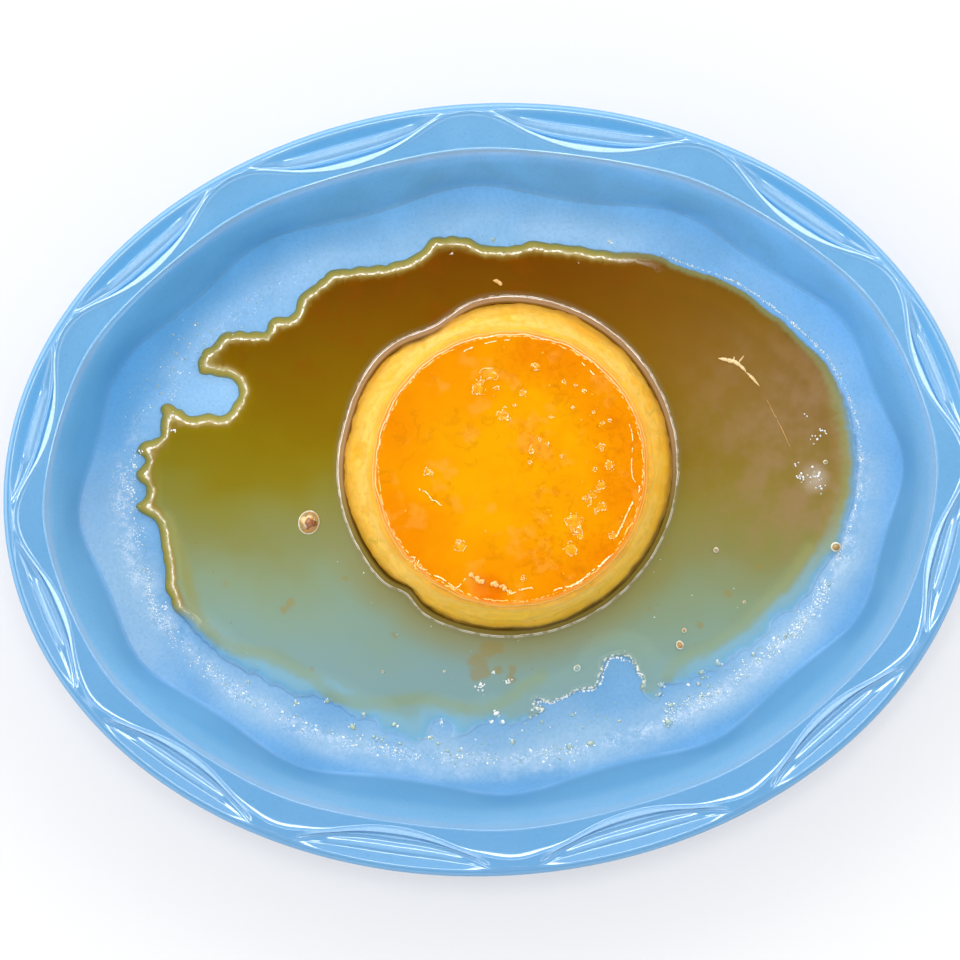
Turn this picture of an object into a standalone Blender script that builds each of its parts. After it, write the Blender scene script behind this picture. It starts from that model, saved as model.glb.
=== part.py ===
"""A caramel pudding turned out on an oval stoneware dish, with its caramel sauce around it.

The meshes are in metres, +Z up. The origin is under the middle of the dish, on the surface that it stands on,
with +X along the dish's long axis. Four pieces: the dish, the set custard, the caramel layer on its top and
the sauce. Sizes below are in millimetres and directions in degrees; ring() turns a piece's millimetres into
metres.
"""

import math

import bmesh
import bpy

MM = 0.001
GAP = 0.3  # between pieces that touch
FLOOR_HEIGHT = 6.0  # of the dish's inside, above what it stands on

# The dish.
DISH_LENGTH = 240.0
DISH_WIDTH = 190.2
LEAVES = 12  # leaf-shaped hollows round the rim, evenly spaced by the oval's own angle
FIRST_LEAF = 15.0
LEAF_SPAN = 0.84  # how much of its pitch a leaf takes up
STEPS_PER_LEAF = 10

# The dish's section, as lines that each run right round it. A line has its inset from the dish's edge and its
# height, first between two leaves and then at a leaf's middle. The underside runs out from the hollow inside
# the foot ring to the lip.
UNDERSIDE_LINES = (
    ((36.3, 1.9), (36.3, 1.9)),
    ((35.0, 0.0), (35.0, 0.0)),
    ((30.0, 0.0), (30.0, 0.0)),
    ((29.0, 2.9), (29.0, 2.9)),
    ((23.3, 3.3), (24.7, 3.3)),
    ((16.3, 5.6), (18.7, 5.6)),
    ((11.8, 12.0), (13.4, 12.0)),
    ((8.3, 19.0), (8.9, 19.0)),
    ((5.0, 20.7), (5.0, 20.7)),
    ((1.3, 22.3), (1.3, 22.3)),
)
# The rim runs in from the lip, over the leaf's hollow and the bead that borders it.
RIM_LINES = (
    ((0.00, 23.9), (0.00, 23.9)),
    ((0.45, 25.3), (0.45, 25.3)),
    ((1.40, 25.9), (1.40, 25.9)),
    ((2.05, 25.8), (2.05, 25.8)),
    ((2.45, 25.6), (4.50, 24.4)),
    ((2.85, 25.5), (7.30, 23.9)),
    ((3.30, 25.5), (8.10, 24.1)),
    ((3.70, 25.6), (9.20, 25.3)),
    ((4.30, 25.3), (10.40, 24.8)),
)
# The fluted wall runs down from the rim's inner edge to the flat floor.
WALL_LINES = (
    ((10.8, 24.8), (11.8, 24.8)),
    ((12.9, 21.6), (13.9, 21.6)),
    ((16.2, 13.6), (18.2, 13.6)),
    ((19.5, 8.4), (22.5, 8.4)),
    ((24.3, 6.3), (27.7, 6.3)),
    ((30.3, FLOOR_HEIGHT), (31.7, FLOOR_HEIGHT)),
)

# The custard, a cone that was turned out of its mould and has slumped a little.
CUSTARD_CENTRE = (4.7, 5.6)
CUSTARD_LEAN = (0.4, -0.8)  # how far its top has settled sideways
CUSTARD_BASE = FLOOR_HEIGHT + GAP
CUSTARD_HEIGHT = 31.0
CUSTARD_STEPS = 60
# (share of the height, radius), from the foot to the edge of the flat top
CUSTARD_PROFILE = ((0.0, 41.6), (0.06, 41.5), (0.2, 39.8), (0.5, 37.2), (0.8, 35.4), (0.95, 34.6), (1, 33.5))
CUSTARD_DENTS = ((114, 3.0, 13), (228, 1.9, 6), (161, 0.5, 12))  # (direction, depth, half width in degrees)
DENT_TOP = 0.62  # share of the height where the dents have run out

# The caramel layer on the custard.
LAYER_THICKNESS = 1.7
LAYER_RADIUS = 33.2
LAYER_EDGE = ((-1.0, 0.0), (-0.15, 0.2), (0.0, 0.55), (-0.9, 0.93), (-2.6, 1.0))  # (outwards, share up)
LAYER_RIPPLES = ((7, 0.22, 23), (13, 0.16, 109))  # (waves round the edge, depth, phase)

# The sauce, poured round the custard: an oval pool with bulges and bays.
POOL_CENTRE = (1.4, 1.0)
POOL_HALF_LENGTH = 90.5
POOL_HALF_WIDTH = 61.5
POOL_LEVEL = 8.6
POOL_STEPS = 180
# (direction, reach beyond the oval, half width in degrees, squareness): 2 is a rounded bulge or bay, and more
# has steeper sides
POOL_FEATURES = (
    (26, 2.6, 12, 2),
    (52, 1.8, 6, 2),
    (97, 2.4, 4, 2),
    (111, -2.2, 4, 2),
    (138.5, -5.2, 5, 4),
    (158.4, -15.0, 3.9, 6),
    (171, 1.6, 2.5, 2),
    (185, -4.4, 4, 2),
    (228, 2.4, 12, 2),
    (251, 2.0, 5, 2),
    (287, -5.5, 10, 4),
    (300, -7.0, 3.4, 4),
    (305.5, 4.5, 1.8, 2),
    (312, -2.8, 4, 2),
    (331, 1.4, 5, 2),
)
# (share of the way out from the custard, share of the pool's depth), the section's corners in turn
POOL_SECTION = ((0.0, 0.0), (0.0, 1.0), (0.62, 1.0), (0.955, 0.93), (1.0, 0.0))
THIN_DIRECTION = -75.0  # where the pool has run thin
THIN_SHARE = 0.35  # how much shallower its outer edge is there


def along(direction):
    """The unit step in that direction."""
    return math.cos(math.radians(direction)), math.sin(math.radians(direction))


def bump(direction, middle, half_width, squareness=2):
    """1 at the middle direction, falling to nothing a little past the half width."""
    away = (direction - middle + 180) % 360 - 180
    return math.exp(-(abs(away / half_width) ** squareness))


def dish_point(angle, inset):
    """The point that far inside the dish's oval edge, square to it, at the oval's own angle."""
    half_length, half_width = DISH_LENGTH / 2, DISH_WIDTH / 2
    cosine, sine = along(angle)
    steepness = math.hypot(half_width * cosine, half_length * sine)
    return (
        cosine * (half_length - inset * half_width / steepness),
        sine * (half_width - inset * half_length / steepness),
    )


def leaf_share(angle):
    """0 between two leaves, and 1 at a leaf's middle: the bowed outline of a leaf."""
    pitch = 360 / LEAVES
    from_middle = (angle - FIRST_LEAF + pitch / 2) % pitch / pitch - 0.5
    return max(0.0, 1 - (2 * from_middle / LEAF_SPAN) ** 2)


def flute_share(angle):
    """The same two places, joined by the even wave of the fluted wall."""
    return 0.5 + 0.5 * along(LEAVES * (angle - FIRST_LEAF))[0]


def custard_radius(direction, share):
    """The custard's radius at a share of its height."""
    upper = next(i for i in range(1, len(CUSTARD_PROFILE)) if share <= CUSTARD_PROFILE[i][0])
    (low, low_radius), (high, high_radius) = CUSTARD_PROFILE[upper - 1 : upper + 1]
    radius = low_radius + (high_radius - low_radius) * (share - low) / (high - low)
    dents = sum(depth * bump(direction, middle, half_width) for middle, depth, half_width in CUSTARD_DENTS)
    return radius - dents * max(0.0, 1 - share / DENT_TOP)


def pool_outer_reach(direction):
    """How far the pool's outer edge is from its centre."""
    cosine, sine = along(direction)
    oval = POOL_HALF_LENGTH * POOL_HALF_WIDTH / math.hypot(POOL_HALF_WIDTH * cosine, POOL_HALF_LENGTH * sine)
    return oval + sum(
        reach * bump(direction, middle, half_width, squareness)
        for middle, reach, half_width, squareness in POOL_FEATURES
    )


def pool_inner_reach(direction):
    """How far the custard's foot, with its gap, is from the pool's centre, found by halving."""
    cosine, sine = along(direction)
    inside, outside = 0.0, POOL_HALF_WIDTH
    for _ in range(30):
        reach = (inside + outside) / 2
        x = POOL_CENTRE[0] + reach * cosine - CUSTARD_CENTRE[0]
        y = POOL_CENTRE[1] + reach * sine - CUSTARD_CENTRE[1]
        if math.hypot(x, y) < custard_radius(math.degrees(math.atan2(y, x)), 0.0) + GAP:
            inside = reach
        else:
            outside = reach
    return outside


def ring(name, steps, lines, place, material, closed_section=False):
    """A grid bent right round, each of its lines placed by place(direction, line). The seam is welded. With a
    closed section the last line meets the first, and otherwise the first and the last line are capped."""
    rows = lines if closed_section else lines - 1
    grid = bmesh.new()
    bmesh.ops.create_grid(grid, x_segments=steps, y_segments=rows, size=0.5)
    for vertex in grid.verts:
        step = round((vertex.co.x + 0.5) * steps) % steps
        line = round((vertex.co.y + 0.5) * rows) % lines
        vertex.co = [size * MM for size in place(360 * step / steps, line)]
    bmesh.ops.remove_doubles(grid, verts=grid.verts, dist=0.001 * MM)
    bmesh.ops.holes_fill(grid, edges=grid.edges, sides=steps)
    bmesh.ops.triangulate(grid, faces=grid.faces)
    bmesh.ops.recalc_face_normals(grid, faces=grid.faces)
    mesh = bpy.data.meshes.new(name)
    grid.to_mesh(mesh)
    grid.free()
    mesh.shade_smooth()
    mesh.set_sharp_from_angle(angle=math.radians(40))
    mesh.materials.append(material)
    return bpy.data.objects.new(name, mesh)


def finish(name, colour, roughness, coat=0.0):
    """A plain glossy material; none of the pieces is metal."""
    material = bpy.data.materials.new(name)
    material.use_nodes = True
    shader = material.node_tree.nodes["Principled BSDF"]
    shader.inputs["Base Color"].default_value = (*colour, 1)
    shader.inputs["Roughness"].default_value = roughness
    shader.inputs["Metallic"].default_value = 0
    shader.inputs["Coat Weight"].default_value = coat
    return material


def dish():
    """One loft of unlike lines: the underside with its foot ring, the rim with its leaves, and the wall."""
    lines = [(line, flute_share) for line in UNDERSIDE_LINES]
    lines += [(line, leaf_share) for line in RIM_LINES]
    lines += [(line, flute_share) for line in WALL_LINES]

    def place(angle, line):
        (between, middle), share = lines[line]
        mix = share(angle)
        inset, height = (start + (end - start) * mix for start, end in zip(between, middle))
        return (*dish_point(angle, inset), height)

    glaze = finish("blue_glaze", (0.15, 0.42, 0.75), 0.12, 0.5)
    return ring("dish", LEAVES * STEPS_PER_LEAF, len(lines), place, glaze)


def custard():
    """The set custard, with a narrower top, a soft upper edge and dents low in its side."""

    def place(direction, line):
        share = CUSTARD_PROFILE[line][0]
        radius = custard_radius(direction, share)
        x, y = (
            centre + lean * share + radius * step
            for centre, lean, step in zip(CUSTARD_CENTRE, CUSTARD_LEAN, along(direction))
        )
        return x, y, CUSTARD_BASE + CUSTARD_HEIGHT * share

    set_custard = finish("set_custard", (0.93, 0.66, 0.16), 0.35)
    return ring("custard", CUSTARD_STEPS, len(CUSTARD_PROFILE), place, set_custard)


def caramel_layer():
    """The thin amber layer that the mould's caramel leaves on the top, with a softly uneven edge."""
    base = CUSTARD_BASE + CUSTARD_HEIGHT + GAP

    def place(direction, line):
        outwards, share = LAYER_EDGE[line]
        ripple = sum(depth * along(waves * direction + phase)[0] for waves, depth, phase in LAYER_RIPPLES)
        radius = LAYER_RADIUS + outwards + ripple
        x, y = (
            centre + lean + radius * step
            for centre, lean, step in zip(CUSTARD_CENTRE, CUSTARD_LEAN, along(direction))
        )
        return x, y, base + LAYER_THICKNESS * share

    amber = finish("amber_caramel", (0.95, 0.36, 0.01), 0.1, 0.6)
    return ring("caramel_layer", CUSTARD_STEPS, len(LAYER_EDGE), place, amber)


def caramel_sauce():
    """The pool lies on the dish's floor up to its level and closes round the custard's foot."""
    base = FLOOR_HEIGHT + GAP

    def place(direction, line):
        out, up = POOL_SECTION[line]
        inner = pool_inner_reach(direction)
        reach = inner + (pool_outer_reach(direction) - inner) * out
        thinned = THIN_SHARE * out * (0.5 + 0.5 * along(direction - THIN_DIRECTION)[0])
        height = base + (POOL_LEVEL - base) * (1 - thinned) * up
        x, y = (centre + reach * step for centre, step in zip(POOL_CENTRE, along(direction)))
        return x, y, height

    syrup = finish("brown_syrup", (0.22, 0.08, 0.004), 0.06, 0.8)
    return ring("caramel_sauce", POOL_STEPS, len(POOL_SECTION), place, syrup, closed_section=True)


def main():
    for existing in list(bpy.data.objects):
        bpy.data.objects.remove(existing, do_unlink=True)
    parts = bpy.data.collections.new("caramel_pudding")
    bpy.context.scene.collection.children.link(parts)
    for make in (dish, custard, caramel_layer, caramel_sauce):
        parts.objects.link(make())


main()
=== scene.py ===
"""A caramel pudding turned out on an oval blue stoneware dish, with its caramel sauce around it."""

import math
import random

import bmesh
import bpy
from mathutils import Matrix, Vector, geometry, noise
from mathutils.bvhtree import BVHTree
from mathutils.kdtree import KDTree


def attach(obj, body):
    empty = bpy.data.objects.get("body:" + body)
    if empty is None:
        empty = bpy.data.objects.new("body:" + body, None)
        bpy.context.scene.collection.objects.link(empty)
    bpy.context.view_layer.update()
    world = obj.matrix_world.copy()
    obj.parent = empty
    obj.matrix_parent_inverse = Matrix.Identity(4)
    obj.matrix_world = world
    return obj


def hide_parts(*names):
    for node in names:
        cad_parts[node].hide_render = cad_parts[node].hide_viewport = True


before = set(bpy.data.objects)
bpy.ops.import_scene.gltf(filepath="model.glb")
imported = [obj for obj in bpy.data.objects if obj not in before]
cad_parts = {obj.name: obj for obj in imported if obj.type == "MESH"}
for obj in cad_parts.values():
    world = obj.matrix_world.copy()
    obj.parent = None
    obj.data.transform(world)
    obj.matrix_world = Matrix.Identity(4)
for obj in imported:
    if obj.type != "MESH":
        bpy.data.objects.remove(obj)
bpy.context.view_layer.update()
scene = bpy.context.scene
MM = 0.001


# The table and the light. The dish stands on a plain pale table in a studio, seen from above: a ring of lamps
# over it, strongest at the back, a dark middle that keeps the glossy tops clear, and pale walls all round.
VIEW_HEIGHT = 726.0
VIEW_CENTRE = (-2.44, 2.55)
VIEW_TURN = -3.73
LENS_LENGTH = 107.0
NEAREST_SEEN = 10.0
TABLE_SIZE = 6000.0
TABLE_DROP = 0.2
TABLE_COLOUR = (0.42, 0.42, 0.428)
TABLE_GLOW = (0.36, 0.36, 0.367)
MIDDLE_LIGHT = 0.02
RING_LIGHT = 11.0
RING_FRONT_SHARE = 0.15
BAND_LIGHT = 0.5
BAND_FRONT_SHARE = 0.5
WALL_LIGHT = 2.7
WALL_FRONT_SHARE = 0.42
BACK = (-0.3, 0.954, 0.0)


class Wire:
    """An output socket. A sum on it, with another wire or a number, adds the Math node that works it out."""

    def __init__(self, net, socket):
        self.net = net
        self.socket = socket

    def __add__(self, other):
        return self.net.sum("ADD", self, other)

    __radd__ = __add__

    def __mul__(self, other):
        return self.net.sum("MULTIPLY", self, other)

    __rmul__ = __mul__

    def __sub__(self, other):
        return self.net.sum("SUBTRACT", self, other)

    def __rsub__(self, other):
        return self.net.sum("SUBTRACT", other, self)

    def __truediv__(self, other):
        return self.net.sum("DIVIDE", self, other)

    def __pow__(self, other):
        return self.net.sum("POWER", self, other)

    def __abs__(self):
        return self.net.sum("ABSOLUTE", self)

    def over(self, low, high):
        """0 up to low, 1 from high on, and a smooth rise between. It falls where low is the higher."""
        ends = {"Value": self, "From Min": low, "From Max": high}
        return self.net.node("ShaderNodeMapRange", {"interpolation_type": "SMOOTHSTEP"}, ends)

    def near(self, middle, width):
        """1 at the middle, falling smoothly to nothing at that width to both sides."""
        return abs(self - middle).over(width, 0)


class Net:
    """A node tree that is being wired up."""

    def __init__(self, tree):
        self.tree = tree
        self.sizes = {}

    def node(self, kind, settings=(), values=(), output=0):
        """Adds a node. Its settings come first, then the values and wires of its sockets."""
        made = self.tree.nodes.new(kind)
        for name, setting in dict(settings).items():
            if name == "stops":
                self.fill_ramp(made.color_ramp, setting)
            elif name == "curve":
                self.fill_curve(made.mapping, setting)
            else:
                setattr(made, name, setting)
        for name, value in dict(values).items():
            self.plug(self.pick(made.inputs, name), value)
        return Wire(self, self.pick(made.outputs, output))

    def pick(self, sockets, name):
        if isinstance(name, int):
            return sockets[name]
        return next(socket for socket in sockets if socket.name == name and socket.enabled)

    def plug(self, socket, value):
        if isinstance(value, Wire):
            self.tree.links.new(value.socket, socket)
        elif value is not None:
            socket.default_value = (*value, 1) if socket.type == "RGBA" else value

    def fill_ramp(self, ramp, stops):
        """Stops are (place, red, green, blue)."""
        while len(ramp.elements) < len(stops):
            ramp.elements.new(1.0)
        for element, (place, *colour) in zip(ramp.elements, stops):
            element.position = place
            element.color = (*colour, 1)

    def fill_curve(self, mapping, heights):
        """Evenly spaced points of those heights, with a smooth curve through them."""
        mapping.use_clip = False
        points = mapping.curves[0].points
        while len(points) < len(heights):
            points.new(0.5, 0.5)
        for step, (point, height) in enumerate(zip(points, heights)):
            point.location = (step / (len(heights) - 1), height)
        mapping.update()

    def sum(self, operation, *terms):
        return self.node("ShaderNodeMath", {"operation": operation}, dict(enumerate(terms)))

    def vector_sum(self, operation, *terms, output=0):
        return self.node("ShaderNodeVectorMath", {"operation": operation}, dict(enumerate(terms)), output)

    def split(self, vector):
        parts = self.node("ShaderNodeSeparateXYZ", (), {0: vector})
        return [Wire(self, socket) for socket in parts.socket.node.outputs]

    def join(self, x, y, z):
        return self.node("ShaderNodeCombineXYZ", (), {0: x, 1: y, 2: z})

    def scaled(self, vector, scale):
        """The vector times a number, or times one number for each axis."""
        if isinstance(scale, tuple):
            return self.vector_sum("MULTIPLY", vector, scale)
        return self.node("ShaderNodeVectorMath", {"operation": "SCALE"}, {0: vector, "Scale": scale})

    def mix(self, share, first, second):
        """From the first colour at 0 to the second at 1."""
        colours = {"Factor": share, "A": first, "B": second}
        return self.node("ShaderNodeMix", {"data_type": "RGBA"}, colours, "Result")

    def cloud(self, place, size, detail=2.0, roughness=0.5, output=0):
        """Soft noise around 0.5, with patches of about that size."""
        values = {"Vector": place, "Scale": 1 / size, "Detail": detail, "Roughness": roughness}
        return self.node("ShaderNodeTexNoise", (), values, output)

    def ramp(self, place, stops):
        return self.node("ShaderNodeValToRGB", {"stops": stops}, {0: place})

    def curve(self, place, heights):
        return self.node("ShaderNodeFloatCurve", {"curve": heights}, {"Value": place})

    def spot(self):
        """The place on the piece, in its own coordinates."""
        return self.node("ShaderNodeTexCoord", (), (), "Object")

    def normal(self):
        return self.node("ShaderNodeNewGeometry", (), (), "Normal")

    def mark(self, name):
        """A value that the mesh carries under that name."""
        return self.node("ShaderNodeAttribute", {"attribute_name": name}, (), "Fac")

    def relief(self, height, strength):
        """A fine relief of that height in millimetres, for the shader's normal."""
        return self.node("ShaderNodeBump", (), {"Height": height, "Distance": MM, "Strength": strength})


def studio_light():
    world = bpy.data.worlds.new("studio")
    world.use_nodes = True
    net = Net(world.node_tree)
    toward = net.node("ShaderNodeTexCoord", (), (), "Generated")
    up = net.split(toward)[2]
    back = net.vector_sum("DOT_PRODUCT", toward, BACK, output="Value")
    level = net.sum("SQRT", net.sum("MAXIMUM", 1 - up * up, 0.0001))
    facing = (back / level).over(-0.9, 0.9)
    ring = up.over(0.977, 0.966) * up.over(0.925, 0.938)
    band = up.over(0.94, 0.92)
    wall = up.over(0.70, 0.56)
    light = MIDDLE_LIGHT + ring * RING_LIGHT * (RING_FRONT_SHARE + (1 - RING_FRONT_SHARE) * facing)
    light = light + band * BAND_LIGHT * (BAND_FRONT_SHARE + (1 - BAND_FRONT_SHARE) * facing)
    light = light + wall * WALL_LIGHT * (WALL_FRONT_SHARE + (1 - WALL_FRONT_SHARE) * facing)
    background = world.node_tree.nodes["Background"]
    net.plug(background.inputs["Strength"], light)
    net.plug(background.inputs["Color"], (1, 1, 1))
    scene.world = world


def studio_camera():
    lens = bpy.data.cameras.new("camera")
    lens.lens = LENS_LENGTH
    lens.clip_start = NEAREST_SEEN * MM
    camera = bpy.data.objects.new("camera", lens)
    camera.location = (VIEW_CENTRE[0] * MM, VIEW_CENTRE[1] * MM, VIEW_HEIGHT * MM)
    camera.rotation_euler = (0, 0, math.radians(VIEW_TURN))
    scene.collection.objects.link(camera)
    scene.camera = camera


def finish(name, sockets):
    """A new material. The function gets its net and gives the values and wires of the shader's sockets."""
    material = bpy.data.materials.new(name)
    material.use_nodes = True
    net = Net(material.node_tree)
    shader = material.node_tree.nodes["Principled BSDF"]
    for socket, value in sockets(net).items():
        net.plug(shader.inputs[socket], value)
    return material


def pale_table(net):
    """Plain and pale, with a little light of its own, so that the dish's shadow stays faint."""
    return {
        "Base Color": TABLE_COLOUR,
        "Roughness": 0.9,
        "Emission Color": TABLE_GLOW,
        "Emission Strength": 1.0,
    }


def table_top():
    mesh = bpy.data.meshes.new("table_top")
    grid = bmesh.new()
    bmesh.ops.create_grid(grid, x_segments=1, y_segments=1, size=TABLE_SIZE * MM / 2)
    bmesh.ops.translate(grid, verts=grid.verts, vec=(0, 0, -TABLE_DROP * MM))
    grid.to_mesh(mesh)
    grid.free()
    mesh.materials.append(finish("pale_table", pale_table))
    table = bpy.data.objects.new("table_top", mesh)
    scene.collection.objects.link(table)


scene.view_settings.view_transform = "Standard"
studio_light()
studio_camera()
table_top()


# The dish, pressed stoneware under a glossy blue glaze. Round its rim run twelve hollows, each with a leaf in
# it and a bead along its inner side; a fluted wall leads down to the floor, and it stands on a foot ring.
DISH_LENGTH = 240.0
DISH_WIDTH = 190.2
LEAVES = 12
FIRST_LEAF = 15.0
HOLLOW_SPAN = 0.81
LEAF_SPAN = 0.62
END_LEAF_SPAN = 0.40
END_NARROWING = 0.13
FLOOR_HEIGHT = 6.0
DISH_COLUMNS = 840
# A line that runs right round: its inset from the edge and its height between two leaves, both again at the
# middle of a leaf, how much the leaf lifts it, and whether it follows the hollow's bow, 0, or an even wave, 1
UNDERSIDE = (
    (36.3, 1.9, 36.3, 1.9, 0, 1),
    (36.0, 0.9, 36.0, 0.9, 0, 1),
    (35.0, 0.0, 35.0, 0.0, 0, 1),
    (30.5, 0.0, 30.5, 0.0, 0, 1),
    (29.4, 0.6, 29.4, 0.6, 0, 1),
    (29.0, 2.6, 29.0, 2.6, 0, 1),
    (23.3, 3.3, 24.7, 3.3, 0, 1),
    (18.6, 4.6, 20.8, 4.6, 0, 1),
    (16.3, 6.2, 18.5, 6.0, 0, 1),
    (14.5, 8.4, 16.4, 8.2, 0, 1),
    (11.8, 13.0, 13.4, 13.0, 0, 1),
    (8.3, 19.0, 8.9, 19.0, 0, 1),
    (5.0, 20.9, 5.0, 20.9, 0, 1),
    (1.3, 22.3, 1.3, 22.3, 0, 1),
    (0.25, 22.9, 0.25, 22.9, 0, 1),
    (0.0, 23.9, 0.0, 23.9, 0, 1),
)
RIM = (
    (0.00, 23.90, 0.00, 23.90, 0.00, 0),
    (0.15, 24.60, 0.15, 24.60, 0.00, 0),
    (0.45, 25.15, 0.45, 25.15, 0.00, 0),
    (0.95, 25.52, 0.95, 25.50, 0.00, 0),
    (1.45, 25.70, 1.45, 25.66, 0.00, 0),
    (1.75, 25.75, 1.75, 25.70, 0.00, 0),
    (1.85, 25.78, 2.02, 25.64, 0.00, 0),
    (1.95, 25.82, 3.20, 25.25, 0.00, 0),
    (2.00, 25.83, 4.30, 24.90, 0.00, 0),
    (2.05, 25.84, 4.70, 24.80, 0.08, 0),
    (2.10, 25.85, 5.10, 24.70, 0.31, 0),
    (2.15, 25.86, 5.50, 24.60, 0.37, 0),
    (2.20, 25.87, 6.40, 24.50, 0.38, 0),
    (2.25, 25.88, 7.20, 24.47, 0.07, 0),
    (2.30, 25.88, 7.90, 24.62, 0.00, 0),
    (2.35, 25.89, 8.20, 24.74, 0.00, 0),
    (2.40, 25.89, 8.50, 24.64, 0.00, 0),
    (2.45, 25.90, 8.90, 24.36, 0.00, 0.1),
    (2.50, 25.90, 9.20, 24.72, 0.00, 0.3),
    (2.60, 25.91, 9.45, 25.01, 0.00, 0.6),
    (2.68, 25.92, 9.65, 25.06, 0.00, 0.8),
    (2.80, 25.92, 10.05, 25.07, 0.00, 0.9),
    (2.95, 25.93, 10.48, 25.07, 0.00, 1),
    (3.05, 25.93, 10.62, 25.08, 0.00, 1),
    (3.20, 25.90, 10.80, 25.04, 0.00, 1),
    (3.60, 25.74, 11.10, 24.88, 0.00, 1),
    (4.50, 25.56, 11.45, 24.85, 0.00, 1),
    (8.40, 25.22, 11.70, 24.84, 0.00, 1),
    (10.90, 25.02, 11.85, 24.82, 0.00, 1),
    (11.20, 25.05, 12.05, 24.85, 0.00, 1),
    (11.42, 25.00, 12.22, 24.80, 0.00, 1),
    (11.80, 24.60, 12.50, 24.45, 0.00, 1),
)
CREST_SHIFT = 1.0
# in shares of the way over the rim: the glaze is painted pale on the bead, between its two sides, and on the
# leaf, partly where it lies thin and partly as a painted highlight; it is painted deeper blue in the hollow
# to both sides of the leaf, partly where the glaze gathers and partly as painted shade
BEAD_PALE = (0.575, 0.600, 0.735, 0.708)
LEAF_PALE = (0.365, 0.055)
HOLLOW_POOLS_AND_SHADE = ((0.25, 0.07), (0.50, 0.07))
WALL = (
    (11.80, 24.60, 12.50, 24.45, 0, 1),
    (12.60, 23.80, 13.30, 23.70, 0, 1),
    (14.00, 22.20, 14.40, 22.20, 0, 1),
    (15.10, 20.20, 15.60, 20.20, 0, 1),
    (16.10, 17.40, 17.10, 17.40, 0, 1),
    (17.00, 14.20, 18.70, 14.20, 0, 1),
    (17.80, 10.80, 20.40, 10.80, 0, 1),
    (18.60, 7.70, 21.90, 7.70, 0, 1),
)
FLOOR = (
    (18.60, 7.70, 21.90, 7.70, 0, 1),
    (20.60, 7.49, 23.90, 7.50, 0, 1),
    (24.00, 7.17, 26.70, 7.23, 0, 1),
    (29.00, 6.80, 30.60, 6.90, 0, 1),
    (35.00, 6.50, 36.00, 6.55, 0, 1),
)
LINE_SCALE = 40.0
CREASE_ANGLE = 34.0


def shape_net(name):
    tree = bpy.data.node_groups.new(name, "GeometryNodeTree")
    tree.interface.new_socket("Shape", in_out="OUTPUT", socket_type="NodeSocketGeometry")
    net = Net(tree)
    net.inlet = tree.nodes.new("NodeGroupInput")
    net.outlet = tree.nodes.new("NodeGroupOutput")
    return net


def sized(net, name, value):
    """A named input of the tree, with the size that this piece gives it."""
    kind = "NodeSocketInt" if isinstance(value, int) else "NodeSocketFloat"
    socket = net.tree.interface.new_socket(name, in_out="INPUT", socket_type=kind)
    net.sizes[socket.identifier] = value
    return Wire(net, net.inlet.outputs[name])


def grow(net, name, shape, material, start=None):
    """Ends the tree, evaluates it on the start mesh and keeps the result as a plain mesh."""
    shape = net.node("GeometryNodeRealizeInstances", (), {0: shape})
    shape = net.node("GeometryNodeSetMaterial", (), {0: shape, "Material": material})
    net.plug(net.outlet.inputs[0], shape)
    piece = bpy.data.objects.new(name, start or bpy.data.meshes.new(name))
    scene.collection.objects.link(piece)
    modifier = piece.modifiers.new(name, "NODES")
    modifier.node_group = net.tree
    for identifier, value in net.sizes.items():
        modifier[identifier] = value
    grown = piece.evaluated_get(bpy.context.evaluated_depsgraph_get())
    mesh = bpy.data.meshes.new_from_object(grown)
    piece.modifiers.remove(modifier)
    piece.data = mesh
    return piece


def close_up(piece):
    """Welds a piece's seams and poles, and turns its faces outwards."""
    solid = bmesh.new()
    solid.from_mesh(piece.data)
    bmesh.ops.remove_doubles(solid, verts=solid.verts, dist=0.002 * MM)
    bmesh.ops.recalc_face_normals(solid, faces=solid.faces)
    solid.to_mesh(piece.data)
    solid.free()
    piece.data.shade_smooth()


def sheet(net, columns, rows, place):
    """A grid whose points place() puts at x, y and z in millimetres, with the glaze's painted tone there:
    above 0 pale, for thin glaze and a painted highlight, below 0 deeper, for gathered glaze and painted
    shade.
    """
    corners = {"Size X": 1.0, "Size Y": 1.0, "Vertices X": columns, "Vertices Y": rows}
    grid = net.node("GeometryNodeMeshGrid", (), corners, "Mesh")
    x, y, _ = net.split(net.node("GeometryNodeInputPosition"))
    *spot, thin = place(x + 0.5, y + 0.5)
    marked = {"Geometry": grid, "Name": "thin_glaze", "Value": thin}
    grid = net.node("GeometryNodeStoreNamedAttribute", {"data_type": "FLOAT"}, marked)
    spot = net.scaled(net.join(*spot), MM)
    return net.node("GeometryNodeSetPosition", (), {"Geometry": grid, "Position": spot})


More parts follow.
